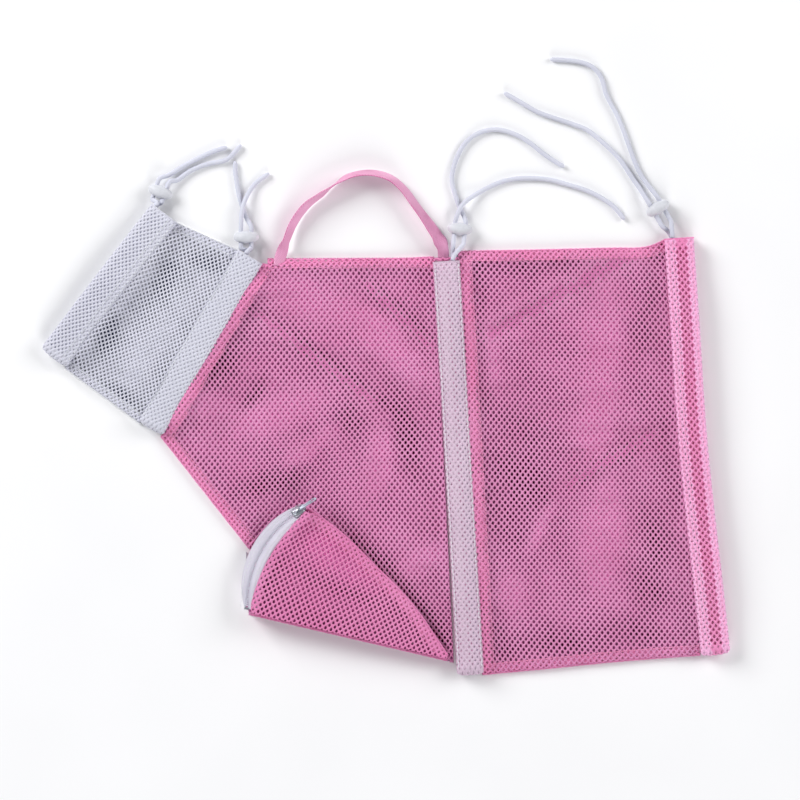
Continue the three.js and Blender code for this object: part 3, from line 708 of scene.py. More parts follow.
def net(name, low, high, surface, materials, keep=None, scale=None, tint=None, around=0, turn=0.0,
        thread=THREAD, pitch=1.0, both=True, **rest):
    """Warp-knitted net: a diamond lattice of cells, each with an oval hole. surface(points, h) places its
    flat points; keep, scale and tint give a cell's presence, hole size and material. Without both, its lower
    faces keep the first material."""
    across, rise = SIDE * pitch, ROW * pitch
    c, s = math.cos(turn), math.sin(turn)
    spin = np.array([[c, s], [-s, c]])
    corners = np.array([(x, y) for x in (low[0], high[0]) for y in (low[1], high[1])])
    corners = corners @ spin.T
    first = np.floor(corners.min(0) / (across, rise)).astype(int)
    last = np.ceil(corners.max(0) / (across, rise)).astype(int)
    if around:
        first, last = np.array([0, first[1]]), np.array([around - 1, last[1]])
    columns, rows = (np.arange(first[k], last[k] + 1) for k in (0, 1))
    a, b = np.meshgrid(columns, rows, indexing="ij")
    chosen = (a + b) % 2 == 0
    a, b = a[chosen], b[chosen]
    centre = np.column_stack([a * across, b * rise]) @ spin
    if keep is not None:
        kept = keep(centre)
        a, b, centre = a[kept], b[kept], centre[kept]
    size = np.ones(len(a)) if scale is None else scale(centre)
    i = 2 * a[:, None] + OUTLINE[:, 0]
    j = 2 * b[:, None] + OUTLINE[:, 1]
    outer = np.stack([i * across / 2, j * rise / 2], -1) @ spin
    rim = centre[:, None] + (RIM * pitch * size[:, None, None]) @ spin
    wrapped = i % (2 * around) if around else i
    number = (wrapped + 10000) * 100000 + j + 10000
    keys, place, ids = np.unique(number, return_index=True, return_inverse=True)
    ids = ids.reshape(i.shape)
    edge_points = outer.reshape(-1, 2)[place]
    crossing = (i % 2 == 0).ravel()[place]
    lift = thread / 2 * np.where(crossing, 1.12, 0.88)
    count = len(keys)
    flat = np.vstack([edge_points, edge_points, rim.reshape(-1, 2)])
    verts = surface(flat, np.concatenate([lift, -lift, np.zeros(rim.shape[0] * 8)]))
    rims = 2 * count + np.arange(len(a) * 8).reshape(-1, 8)
    after, rim_after = np.roll(ids, -1, 1), np.roll(rims, -1, 1)
    top = np.stack([ids, after, rim_after, rims], -1).reshape(-1, 4)
    under = np.stack([after + count, ids + count, rims, rim_after], -1).reshape(-1, 4)
    pairs = np.sort(np.stack([ids, after], -1).reshape(-1, 2), axis=1)
    number = pairs[:, 0] * (count + 1) + pairs[:, 1]
    _, back, uses = np.unique(number, return_inverse=True, return_counts=True)
    border = uses[back.ravel()] == 1
    p, q = ids.reshape(-1)[border], after.reshape(-1)[border]
    walls = np.stack([q, p, p + count, q + count], -1)
    # The map for baking: upper faces in its left half, lower ones in its right half.
    outer_after, rim_next = np.roll(outer, -1, 1), np.roll(rim, -1, 1)
    above = np.stack([outer, outer_after, rim_next, rim], 2).reshape(-1, 4, 2)
    below = np.stack([outer_after, outer, rim, rim_next], 2).reshape(-1, 4, 2)
    o, n = outer.reshape(-1, 2)[border], outer_after.reshape(-1, 2)[border]
    side = np.stack([n, o, o, n], 1)
    least, span = outer.min((0, 1)), np.ptp(outer.reshape(-1, 2), axis=0)
    halves = ((above, 0.01), (below, 0.51), (side, 0.01))
    maps = [(m - least) / span * (0.48, 0.98) + (start, 0.01) for m, start in halves]
    tints = np.zeros(len(a)) if tint is None else tint(centre)
    tints = np.repeat(tints, 8)
    tints = np.concatenate([tints, tints * both, tints[border] * both])
    uvs = np.concatenate([m.reshape(-1, 2) for m in maps])
    return build(name, verts, [top, under, walls], materials, tints=tints, uvs=uvs, uv="OFBake", **rest)


# ---------------------------------------------------------------- body panels

def waver(points):
    """The rows of holes run a little unevenly, as the cloth was cut and pulled."""
    x, y = points.T
    dx = 1.6 * np.sin(y / 47 + 0.6) + 1.1 * np.sin((x + y) / 33)
    dy = 2.2 * np.sin(x / 61 + 1.1) + 1.2 * np.sin((x - 1.4 * y) / 41)
    return points + np.column_stack([dx, dy])


def hole_darkness(points, lobes):
    """How dark the holes look, from 0 to 1: it picks the painted shade of the back layer's inner faces and
    widens the front's holes. A lobe is its middle, reach along and across, direction and strength."""
    x, y = points.T
    dark = np.full(len(points), 0.44) + 0.08 * np.sin((x + 0.8 * y) / 7.5 + 2.2 * np.sin((x - y) / 37))
    for px, py, along, across, direction, strength in lobes:
        c, s = math.cos(math.radians(direction)), math.sin(math.radians(direction))
        u, v = (x - px) * c + (y - py) * s, (y - py) * c - (x - px) * s
        dark += 2.2 * strength * np.exp(-((u / along) ** 2) - (v / across) ** 2)
    return np.clip(dark, 0, 1)


def speckle(points):
    """An even scatter of values from 0 to 1, one for each point."""
    value = np.sin(points[:, 0] * 12.9898 + points[:, 1] * 78.233) * 43758.5453
    return value - np.floor(value)


def shade_of(points, spots, grain=0.9):
    """Which painted shade a back cell's inner faces have, from the lobes; neighbours differ a little."""
    level = 4 * hole_darkness(points, spots) + grain * (speckle(points) - 0.5)
    return 1 + np.clip(np.round(level), 0, 4).astype(int)


def panel(name, nodes, region, front, spots, materials, hems, hem_width, turn=0.0, slot="pink_net",
          pitch=1.0, creases=()):
    """The front and back layers of one part of the bag. materials are the front's, its hems', its creases'
    painted valley shade, the back's outside and the back's painted shades inside."""
    low, high = region.low - 4, region.high + 4

    def near_hem(points):
        depth = np.full(len(points), 1e9)
        for line in hems:
            depth = np.minimum(depth, line_distance(points, line)[0])
        return depth

    def keep(points):
        return region.depth(waver(points))[0] > -1.6

    def size(points):
        q = waver(points)
        k = 0.78 + 0.28 * smooth(hole_darkness(q, spots), 0, 0.75)
        k -= 0.16 * (near_hem(q) < hem_width)
        for a, b, width in creases:
            k *= 1 - 0.45 * np.exp(-(line_distance(q, [a, b])[0] / width) ** 2)
        return k

    def colour(points):
        q = waver(points)
        index = (near_hem(q) < hem_width).astype(int)
        # Cells along a crease take the darker pink, as painted valley shade.
        for a, b, width in creases:
            reach = width * (0.25 + 0.5 * speckle(points))
            index[(line_distance(q, [a, b])[0] < reach) & (index == 0)] = 2
        return index

    upper = net(f"{name}_front_net", low, high, lambda p, h: front.place(region.squeeze(waver(p)), h),
                materials[:3], keep, size, colour, turn=turn, pitch=pitch,
                body="bag", replaces=[nodes[0]], slot=slot)

    # The back layer's crossings lie under the front's holes, as seen from the camera.
    def back_place(p, h):
        q = waver(p)
        parallax = (q - CAMERA_XY) * ((front(q) - 0.9) / (CAMERA_Z - front(q)))[:, None]
        slip = SIDE * pitch * (1 - 0.2 * np.sin(q[:, 0] / 13 + q[:, 1] / 17) ** 2)
        q = q + parallax + np.column_stack([slip * math.cos(turn), slip * math.sin(turn)])
        return np.column_stack([region.squeeze(q), 0.66 + h])

    # Its inner faces carry painted shade, picked from the lobes; its outer faces keep the back's own colour.
    lower = net(f"{name}_back_net", low, high, back_place, materials[3:], keep, None,
                lambda p: shade_of(waver(p), spots), turn=turn, thread=1.05, pitch=pitch, both=False,
                body="bag", replaces=[nodes[1]], slot=slot)


def chest_region():
    return Region([beside(NECK_TOP, NECK_BOTTOM, 0, -1.5), beside(NECK_TOP, NECK_BOTTOM, NECK_LONG, -1.5),
                   (-106, -98), (-107, -150), (53, -187.3), (37.5, 128.5)])


def rear_lines():
    """The rear's top and bottom edges; the top one sweeps up to the tail channel's mouth."""
    top = along_curve([(56, 132.6), (58.3, 133), (110, 134), (170, 135.5), (203, 136.4), (212, 139.5),
                       (218, 142.4)], 6)
    bottom = along_curve([(75, -196.2), (77, -196), (120, -192), (180, -186), (245, -181)], 6)
    return top, bottom


def rear_region():
    top, bottom = rear_lines()
    tail, d = CHANNELS["tail"].at(np.linspace(0, CHANNELS["tail"].length, 24))
    side = tail + np.column_stack([-d[:, 1], d[:, 0]]) * -9.5
    return Region(np.vstack([top[:-1], side, bottom[::-1][1:]]))


def head_region():
    return Region([beside(NOSE_TOP, NOSE_BOTTOM, 0, 23.5), beside(NOSE_TOP, NOSE_BOTTOM, NOSE_LONG, 23.5),
                   beside(NECK_TOP, NECK_BOTTOM, NECK_LONG, -20.5), beside(NECK_TOP, NECK_BOTTOM, 0, -20.5)])


CHEST, REAR, HEAD = chest_region(), rear_region(), head_region()
CHEST_TOP = [beside(NECK_TOP, NECK_BOTTOM, -6, 0.4), (37.5, 128.5)]
CHEST_LEFT = [beside(NECK_TOP, NECK_BOTTOM, NECK_LONG, -2), (-106, -98), (-107, -112)]
CHEST_NECK = [beside(NECK_TOP, NECK_BOTTOM, 0, 0.4), beside(NECK_TOP, NECK_BOTTOM, NECK_LONG, 0.4)]
REAR_TOP, REAR_BOTTOM = rear_lines()
REAR_WAIST = [(58, 134), (76.6, -196)]
HEAD_TOP = [HEAD.outline[0], HEAD.outline[3]]
HEAD_BOTTOM = [HEAD.outline[1], HEAD.outline[2]]

CHEST_FOLDS = [
    ((-30, 96), (36, 28), 12, 2.2), ((-14, 108), (36, 58), 6, -1.8), ((-100, 84), (-10, 17), 8, -2.2),
    ((-95, 104), (-50, 80), 12, 1.6), ((-120, -4), (-62, 16), 10, 1.6), ((-85, -38), (-45, -5), 8, 1.4),
    ((-12, -55), (-4, -10), 9, 2.2), ((16, -40), (12, 20), 8, -1.4), ((-145, 14), (-128, 22), 10, 1.2),
    ((12, -118), (42, -96), 8, 1.8), ((-30, 60), (10, 20), 9, 1.2),
]
REAR_FOLDS = [
    ((196, 134), (82, 70), 6, -2.6), ((190, 112), (90, 52), 9, 2.0), ((210, -8), (142, -48), 6, -2.4),
    ((205, 4), (150, -26), 8, 1.6), ((167, 100), (163, -14), 15, 2.2), ((167, -62), (167, -122), 14, 2.2),
    ((110, -100), (132, -60), 6, 1.6), ((81, 78), (83, 34), 7, 1.4), ((105, -90), (105, 10), 16, -1.6),
    ((206, -150), (204, -66), 9, -1.4), ((90, -135), (104, -127), 10, 1.4), ((198, 110), (200, 50), 8, -1.2),
]
HEAD_FOLDS = [
    (beside(NECK_TOP, NECK_BOTTOM, 20, -40), beside(NECK_TOP, NECK_BOTTOM, 120, -48), 8, 1.6),
    (beside(NECK_TOP, NECK_BOTTOM, 40, -60), beside(NECK_TOP, NECK_BOTTOM, 110, -66), 8, -1.6),
]
CHEST_SKIN = front_skin("chest_front", CHEST, [CHEST_TOP, CHEST_LEFT], CHEST_FOLDS)
REAR_SKIN = front_skin("rear_front", REAR, [REAR_TOP, REAR_BOTTOM], REAR_FOLDS)
HEAD_SKIN = front_skin("head_cover_front", HEAD, [HEAD_TOP, HEAD_BOTTOM], HEAD_FOLDS)

# Lobes of painted shade on the back layer's inner faces, also widening the front's holes: darker (above 0)
# where the layers would lie apart, lighter (below 0) where they lie closer.
CHEST_SHADE_SPOTS = [
    (-1, 64, 47, 11, -43, -0.45), (7, 88, 38, 5, -43, 0.35), (-47, 47, 65, 6, -36, 0.4),
    (-75, 99, 40, 12, -35, -0.35), (-90, 6, 36, 12, 20, -0.4), (-62, -20, 30, 6, 40, -0.3),
    (-8, -33, 22, 8, 80, -0.5), (15, -10, 30, 9, -80, 0.35), (-32, 2, 14, 10, 0, 0.25),
    (-133, 45, 20, 12, 45, 0.35), (-145, 14, 12, 9, 0, -0.45), (-86, -45, 26, 9, 15, 0.4),
    # The lobe at (11, -134) paints the shadow that the folded corner's free edge casts on the chest.
    (27, -107, 18, 7, 35, -0.4), (11, -134, 55, 9, -48, 0.6), (-105, 20, 20, 5, 60, 0.25),
]
REAR_SHADE_SPOTS = [
    (140, 103, 62, 6, 29, 0.4), (167, 64, 42, 13, 88, -0.42), (163, 2, 25, 12, 85, -0.38),
    (176, -28, 36, 5, 31, 0.4), (167, -92, 34, 13, 88, -0.45), (120, -80, 24, 5, 62, -0.35),
    (81, 56, 26, 5, -85, -0.3), (105, -45, 60, 28, 90, 0.25), (105, 121, 40, 8, 5, 0.2),
    (206, -107, 50, 12, 85, 0.25), (97, -131, 14, 12, 0, -0.3), (136, -170, 80, 12, 5, 0.2),
    (198, 80, 35, 9, 80, 0.12), (74, 80, 50, 5, -86, 0.16),
]
HEAD_SHADE_SPOTS = [(-172, 112, 12, 6, 70, 0.6), (-141, 125, 12, 5, -20, 0.55), (-186, 140, 6, 4, 0, 0.5),
              (-217, 68, 15, 5, 70, 0.6), (-209, 21, 12, 7, -50, 0.6), (-180, 60, 60, 12, 50, -0.3),
              (-165, 85, 20, 6, -60, 0.15), (-200, 100, 30, 6, 50, -0.2)]
# Along creases the front's holes narrow and some cells take the painted valley shade.
CHEST_CREASES = [((-100, 84), (-10, 17), 4), ((-14, 108), (36, 58), 4)]
REAR_CREASES = [((196, 134), (82, 70), 9), ((210, -8), (142, -48), 4)]


def panels():
    pinks = (PINK, PINK_HEM, PINK_CREASE_SHADE, PINK_BACK, *PINK_INSIDE_SHADES)
    whites = (WHITE, WHITE, WHITE, WHITE_BACK, *WHITE_INSIDE_SHADES)
    panel("chest", ("chest_front", "chest_back"), CHEST, CHEST_SKIN, CHEST_SHADE_SPOTS, pinks,
          [CHEST_TOP, CHEST_LEFT, CHEST_NECK], 6.5, creases=CHEST_CREASES)
    panel("rear", ("rear_front", "rear_back"), REAR, REAR_SKIN, REAR_SHADE_SPOTS, pinks,
          [REAR_TOP, REAR_WAIST], 6.5, creases=REAR_CREASES)
    panel("head", ("head_cover_front", "head_cover_back"), HEAD, HEAD_SKIN, HEAD_SHADE_SPOTS, whites,
          [HEAD_TOP, HEAD_BOTTOM], 7.0, math.radians(-30), "white_net", 0.84)


panels()


# ---------------------------------------------------------------- seam allowances and edges

def ribbon(name, line, inward, width, height, material, replaces, slot, body="bag", thread=0.7):
    """A turned-in strip of net along a seam, with its holes out of step with the layer above it."""
    line = along_curve(line, 4.0)
    s = lengths(line)
    tangent = unit(np.gradient(line, axis=0))
    sign = np.sign(np.median(tangent[:, 0] * inward[1] - tangent[:, 1] * inward[0])) or 1.0

    def place(points, h):
        along = np.clip(points[:, 1], 0.5, s[-1] - 0.5)
        p = np.stack([np.interp(along, s, line[:, i]) for i in (0, 1)], -1)
        d = unit(np.stack([np.interp(along, s, tangent[:, i]) for i in (0, 1)], -1))
        p = p + np.column_stack([-d[:, 1], d[:, 0]]) * (sign * np.clip(points[:, 0], 0, width))[:, None]
        return np.column_stack([p, height(p) + h])

    return net(name, (0, 0), (width, s[-1]), place, (material,), scale=lambda p: np.full(len(p), 0.42),
               thread=thread, body=body, replaces=replaces, slot=slot)


def roll(name, line, radius, material, slot, body="bag", heights=None, close=False, **rest):
    """A thin turned edge along a line, slightly uneven."""
    line = np.asarray(line, float)
    if not close:
        line = along_curve(line, 1.5)
    if heights is not None:
        line = np.column_stack([line, heights(line)])
    ahead = np.roll(line, -1, 0) - np.roll(line, 1, 0) if close else np.gradient(line, axis=0)
    tangent = unit(ahead)
    side = unit(np.cross(tangent, (0, 0, 1)) + 1e-6)
    up = np.cross(side, tangent)
    s = lengths(line)[:, None]
    turn = np.linspace(0, 2 * math.pi, 10, endpoint=False)[None]
    r = radius * (1 + 0.10 * np.sin(s * 1.45 + 2 * turn) + 0.05 * np.sin(s * 0.31))
    points, faces = tube(line, side, up, np.stack([r * np.cos(turn), r * np.sin(turn)], -1), capped=not close)
    if close:
        n, m = len(line), 10
        last, first = np.arange(m) + (n - 1) * m, np.arange(m)
        faces.append(np.stack([last, np.roll(last, -1), np.roll(first, -1), first], -1))
    return build(name, points, faces, material, body, slot=slot, **rest)


def under(skin, drop=0.85):
    return lambda p: np.maximum(skin(p) - drop, 1.55)


def finish_of(name):
    return (WHITE_BACK, "white_net") if name.startswith("head") else (PINK_HEM, "pink_trim")


def seams():
    chest, rear, head = under(CHEST_SKIN), under(REAR_SKIN), under(HEAD_SKIN)
    level = lambda p: 6.2 + 0 * p[:, 0]
    above_waist = [(36.4, 128.2), (57.8, 128.8)]
    for name, line, inward, width, height, replaces in (
        ("chest_top", np.array(CHEST_TOP), (0, -1), 8, chest, ["chest_top_seam"]),
        ("chest_left", np.array(CHEST_LEFT[:2]), (1, 0.5), 8, chest, ["chest_left_seam"]),
        ("chest_neck", CHEST_NECK, (1, -0.5), 7, chest, ()),
        ("rear_top", REAR_TOP, (0, -1), 8, rear, ["rear_top_seam"]),
        ("rear_bottom", REAR_BOTTOM, (0, 1), 8, rear, ["rear_bottom_seam"]),
        ("rear_waist", REAR_WAIST, (1, 0), 8, rear, ()),
        ("head_top", HEAD_TOP, (-0.5, -0.85), 7, head, ["head_top_seam"]),
        ("head_bottom", HEAD_BOTTOM, (0.5, 0.85), 7, head, ["head_bottom_seam"]),
        ("waist_top", above_waist, (0, -1), 2.6, level, ["waist_top_strip"]),
    ):
        material, slot = finish_of(name)
        ribbon(f"{name}_allowance", line, inward, width, height, material, replaces, slot)
    for name, line, radius in (
        ("chest_top", [(-97, 122.2), (37.5, 128.3)], 1.2),
        ("chest_left", [beside(NECK_TOP, NECK_BOTTOM, NECK_LONG, -1), (-106, -98)], 1.2),
        ("rear_top", REAR_TOP + (0, -0.4), 1.2),
        ("rear_bottom", REAR_BOTTOM + (0, 0.4), 1.2),
        ("head_top", HEAD_TOP, 1.1),
        ("head_bottom", HEAD_BOTTOM, 1.1),
    ):
        material, slot = finish_of(name)
        roll(f"{name}_edge", line, radius, material, slot, heights=lambda p: np.full(len(p), 1.45))


seams()


# ---------------------------------------------------------------- drawstring channels

# Hole size where the net is doubled, and how far up that goes from the bottom fold.
CLOSED_HOLE, BOTTOM_REACH = 0.24, 7


def channel_net(key, node, materials, stripes, slot, mouth, tint=None, hole=1.0):
    """The channel's net tube. stripes are (from, to, hole size) across its upper face, and its holes nearly
    close within mouth of its ends."""
    channel = CHANNELS[key]

    def size(points):
        p, _ = channel.section(points[:, 0])
        k = np.full(len(points), hole)
        for start, end, value in stripes:
            k = np.where((p[:, 0] > start) & (p[:, 0] < end) & (p[:, 1] > 0), value, k)
        ends = np.minimum(points[:, 1], channel.total - points[:, 1])
        bottom = np.abs(points[:, 1] - channel.total / 2)
        return np.where((ends < mouth) | (bottom < BOTTOM_REACH), CLOSED_HOLE, k)

    def colour(points):
        p, _ = channel.section(points[:, 0])
        return tint(p) if tint else np.zeros(len(points))

    def place(points, h):
        flat = np.column_stack([points[:, 0], np.clip(points[:, 1], 0, channel.total)])
        return channel.surface(flat, h)

    around = channel.girth
    obj = net(f"{key}_channel_net", (0, 2), (around, channel.total - 2), place, materials, scale=size,
              tint=colour, around=channel.around, pitch=channel.pitch, body="bag", replaces=[node], slot=slot)
    for s, word in ((0.3, "front"), (channel.total - 0.3, "back")):
        arc = np.linspace(0, around, 60, endpoint=False)
        ring = channel.surface(np.column_stack([arc, np.full(60, s)]), np.zeros(60))
        roll(f"{key}_{word}_mouth_edge", ring, 0.55, materials[0], slot, close=True)


def channels():
    back = lambda p: (p[:, 1] < 0).astype(int)
    pale = lambda p: ((np.abs(p[:, 0] - 0.7) > 4.3) & (p[:, 1] > 0)).astype(int)
    channel_net("nose", "nose_channel", (WHITE, WHITE_BACK), [(5, 13, 0.3), (-13, -8, 0.5)], "white_net", 4,
                hole=0.7)
    channel_net("neck", "neck_band", (WHITE, WHITE_BACK), [(-12, 12, 0.34)], "white_net", 10, hole=0.5)
    channel_net("waist", "waist_band", (WHITE_BAND, PINK_BAND),
                [(-5.6, -1.2, 0.18), (-12, -5.6, 0.42), (-1.2, 12, 0.5)], "white_net", 24, back)
    channel_net("tail", "tail_channel", (PINK_HEM, PINK_BACK),
                [(-12, -3.6, 0.56), (-3.6, 5, 0.95), (5, 12, 0.3)], "pink_trim", 6, pale)


channels()


# ---------------------------------------------------------------- folded corner

def zip_point(radius, angle, lift=0.0):
    a, tilt = np.radians(angle), math.atan(ZIP_SLOPE)
    r = radius + lift * math.sin(tilt)
    z = ZIP_Z + (ZIP_RADIUS - radius) * ZIP_SLOPE + lift * math.cos(tilt)
    r, z, a = np.broadcast_arrays(r, z, a)
    return np.stack([ZIP_CENTRE[0] + r * np.cos(a), ZIP_CENTRE[1] + r * np.sin(a), z], -1)


FLAP_FREE = along_curve([(-60.5, -66.5), (-34, -86.5), (-10, -110), (19, -139.5), (48, -181)], 4)
FLAP_FOLD = np.array([(-104.0, -148.2), (47.5, -184.0)])
# Lobes of painted shade for the folded corner's lower layer, as in the panels' tables.
FLAP_SHADE_SPOTS = [(-97, -122, 22, 9, 80, 0.15), (-32, -131, 60, 6, -22, 0.2), (-30, -158, 70, 12, -13, 0.12),
              (-44, -95, 40, 16, -40, -0.35)]


def flap_region(radius, cover):
    """The corner's outline; its net laps over the zipper tape by cover at both ends of the zipper."""
    angles = np.linspace(ZIP_END - 1, ZIP_START + 1, 24)
    cover = np.where(angles > ZIP_MIDDLE, 0.66, 1.0) * cover
    arc = zip_point(radius + cover * ((angles - ZIP_MIDDLE) / ZIP_REACH) ** 2, angles)[:, :2]
    return Region(np.vstack([FLAP_FOLD[1:], FLAP_FREE[::-1][:-2], arc[::-1], FLAP_FOLD[:1]])), arc


def flap():
    upper_region, arc = flap_region(ZIP_RADIUS - ZIP_HALF + 0.4, 6.5)
    low, high = upper_region.low - 12, upper_region.high + 12
    z = cad_heights("leg_flap_upper", low, high, 2.5).ravel() - 0.6
    points, shape = grid_points(low, high, 2.5)
    zip_away = line_distance(points, arc)[0]
    from_centre = np.linalg.norm(points - ZIP_CENTRE, axis=1)
    over_tape = ZIP_Z + (ZIP_RADIUS - np.maximum(from_centre, 79)) * ZIP_SLOPE + 1.2
    z = mix(over_tape, z, smooth(zip_away * (from_centre < 84), 0, 18))
    free_away = line_distance(points, FLAP_FREE)[0]
    z += folds(points, [((-70, -100), (10, -160), 9, 1.2), ((-85, -130), (-20, -140), 8, -1.0)])
    z = mix(12.2, z, np.sqrt(smooth(free_away + 9 * (1 - smooth(zip_away, 0, 9)), -3, 12)))
    skin = Skin(low, z.reshape(shape), 2.5)
    turn = math.radians(-20)

    def edge(points):
        q = waver(points)
        return np.minimum(line_distance(q, FLAP_FREE)[0], line_distance(q, arc)[0]) < 6

    upper = net("leg_flap_upper_net", low, high, lambda p, h: skin.place(upper_region.squeeze(waver(p)), h),
                (PINK_FLAP,), lambda p: upper_region.depth(waver(p))[0] > -1.6, lambda p: 1 - 0.4 * edge(p),
                turn=turn, body="leg_flap", replaces=["leg_flap_upper"], slot="pink_net")
    lower_region, _ = flap_region(ZIP_RADIUS + ZIP_HALF - 2, -5)
    across = SIDE * np.array([math.cos(turn), math.sin(turn)])
    # Its upper faces carry painted shade picked from the lobes; its lower faces keep the back's own colour.
    lower = net("leg_flap_lower_net", low, high,
                lambda p, h: np.column_stack([lower_region.squeeze(waver(p) + across), 10.5 + h]),
                (PINK_BACK, *PINK_INSIDE_SHADES), lambda p: lower_region.depth(waver(p))[0] > -1.6, turn=turn,
                tint=lambda p: shade_of(waver(p), FLAP_SHADE_SPOTS), both=False,
                body="leg_flap", replaces=["leg_flap_lower"], slot="pink_net")
    ribbon("leg_flap_allowance", FLAP_FREE[1:-2], (-0.7, -0.7), 8, lambda p: skin(p) - 0.85, PINK_HEM,
           ["leg_flap_seam"], "pink_trim", "leg_flap")
    roll("leg_flap_free_edge", FLAP_FREE, 1.1, PINK_FLAP, "pink_trim", "leg_flap",
         lambda p: np.full(len(p), 11.7))
    return skin


def fold_strip(name, reach, base, top, material):
    """Net that turns up from the bag round the fold line into the folded corner."""
    a, b = FLAP_FOLD
    long = np.linalg.norm(b - a)
    d = (b - a) / long
    out = np.array([d[1], -d[0]])

    def place(points, h):
        along = np.clip(points[:, 1], 0, long)
        p = a + d * along[:, None]
        z0, z1 = base(p), top(p)
        turn = np.clip(points[:, 0] / 26.0, 0, 1) * math.pi - math.pi / 2
        r = (z1 - z0) / 2
        z = (z0 + z1) / 2 + (r + h * 0.8) * np.sin(turn)
        away = (reach + h) * np.cos(turn)
        return np.column_stack([p + out * away[:, None], z])

    obj = net(name, (1, 1), (25, long - 1), place, (material,), scale=lambda p: np.full(len(p), 0.85),
              slot="pink_net")
    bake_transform(obj)


FLAP_SKIN = flap()
fold_strip("leg_flap_outer_fold", 1.2, lambda p: np.full(len(p), 0.85), FLAP_SKIN, PINK_FLAP)
fold_strip("leg_flap_inner_fold", 0.5, CHEST_SKIN, lambda p: np.full(len(p), 10.5), PINK_FLAP)


# ---------------------------------------------------------------- zipper

def band(name, edges, thick, material, body, replaces=(), slot=None, count=4):
    """A flat strip between two lines of points, with a rounded section and its weave map."""
    left, right = edges
    n = len(left)
    v = np.linspace(0, 1, count + 1)
    tangent = unit(np.gradient((left + right) / 2, axis=0))
    normal = unit(np.cross(tangent, right - left))
    middle = left[:, None] * (1 - v)[None, :, None] + right[:, None] * v[None, :, None]
    bulge = thick / 2 * (0.55 + 0.45 * np.sqrt(np.clip(1 - (2 * v - 1) ** 4, 0, 1)))
    upper = middle + normal[:, None] * bulge[None, :, None]
    lower = (middle - normal[:, None] * bulge[None, :, None])[:, ::-1]
    ring = np.concatenate([upper, lower], 1)
    m = ring.shape[1]
    faces = grid_faces(n, m, close=True)
    s = lengths((left + right) / 2) / 1000
    across = np.concatenate([v, v[::-1]])
    uv = np.stack(np.broadcast_arrays(s[:, None], across[None]), -1).reshape(-1, 2)
    half = m // 2
    faces = [faces]
    for loop in (np.arange(m)[::-1], np.arange(m) + (n - 1) * m):
        opposite = loop[::-1]
        faces.append(np.stack([loop[:half - 1], loop[1:half], opposite[1:half], opposite[:half - 1]], -1))
    uvs = np.concatenate([uv[f.ravel()] for f in faces])
    return build(name, ring.reshape(-1, 3), faces, material, body, replaces, slot, uvs=uvs)


def capsules(name, centres, along, up, size, material, body, slot, replaces=()):
    """Many small rounded pieces: half length, half width and half height, each lying along its own line."""
    turn = np.linspace(0, 2 * math.pi, 7, endpoint=False)
    rings = [(-1.0, 0.35), (-0.7, 0.85), (0.0, 1.0), (0.7, 0.85), (1.0, 0.35)]
    template = np.array([(x, r * math.cos(t), r * math.sin(t)) for x, r in rings for t in turn]) * size
    faces = grid_faces(5, 7, close=True)
    caps = np.array([list(range(7))[::-1], [28 + i for i in range(7)]])
    caps = np.concatenate([[[c[0], c[i], c[i + 1]] for i in range(1, 6)] for c in caps])
    along, up = unit(along), np.asarray(up, float)
    side = unit(np.cross(up, along))
    up = np.cross(along, side)
    frame_axes = np.stack([along, side, up], 1)
    points = centres[:, None] + np.einsum("kj,nji->nki", template, frame_axes)
    shift = (np.arange(len(centres)) * 35)[:, None, None]
    every = [(faces[None] + shift).reshape(-1, 4), (caps[None] + shift).reshape(-1, 3)]
    return build(name, points.reshape(-1, 3), every, material, body, replaces, slot)


SLIDER_ANGLE = 123.0


def slider_frame():
    """The slider's place on the zipper, and its directions across, along and off the tape."""
    angle = math.radians(SLIDER_ANGLE)
    origin = zip_point(ZIP_RADIUS, SLIDER_ANGLE)
    along = np.array([math.sin(angle), -math.cos(angle), 0])
    across = unit([-math.cos(angle), -math.sin(angle), ZIP_SLOPE])
    return origin, across, along, np.cross(across, along)


def plate(outline, low, high, bevel):
    """A flat plate with rounded edges, from an outline, as points and faces in its own frame."""
    outline = np.asarray(outline, float)
    middle = outline.mean(0)
    inset = lambda k: middle + (outline - middle) * (1 - k / np.abs(outline - middle).max(0))
    levels = [(low, bevel), (low + bevel, 0), (high - bevel, 0), (high, bevel)]
    points = np.vstack([np.column_stack([inset(k), np.full(len(outline), z)]) for z, k in levels])
    n = len(outline)
    points = np.vstack([points, [*middle, low], [*middle, high]])
    ring, top = np.arange(n), np.arange(n) + 3 * n
    faces = [grid_faces(4, n, close=True), np.stack([np.full(n, 4 * n), np.roll(ring, -1), ring], -1),
             np.stack([np.full(n, 4 * n + 1), top, np.roll(top, -1)], -1)]
    return points, faces


def join(parts):
    """Points and faces of several pieces as one."""
    points, faces, count = [], [], 0
    for p, f in parts:
        points.append(p)
        faces += [np.asarray(g) + count for g in f]
        count += len(p)
    return np.vstack(points), faces


def zipper_tapes():
    angles = np.linspace(ZIP_START, ZIP_END, 96)
    clear = 0.7
    inner = ZIP_RADIUS - ZIP_HALF + 6.5 * (1 - smooth(angles, ZIP_START, 126))
    edge = ZIP_RADIUS + ZIP_HALF - 5.5 * np.abs((angles - ZIP_MIDDLE) / ZIP_REACH) ** 2.5
    for name, first, second in (("outer", edge, ZIP_RADIUS + clear), ("inner", ZIP_RADIUS - clear, inner)):
        band(f"zipper_tape_{name}_cloth", (zip_point(first, angles), zip_point(second, angles)), 0.7, TAPE,
             "leg_flap", [f"zipper_tape_{name}"], "zipper_tape")


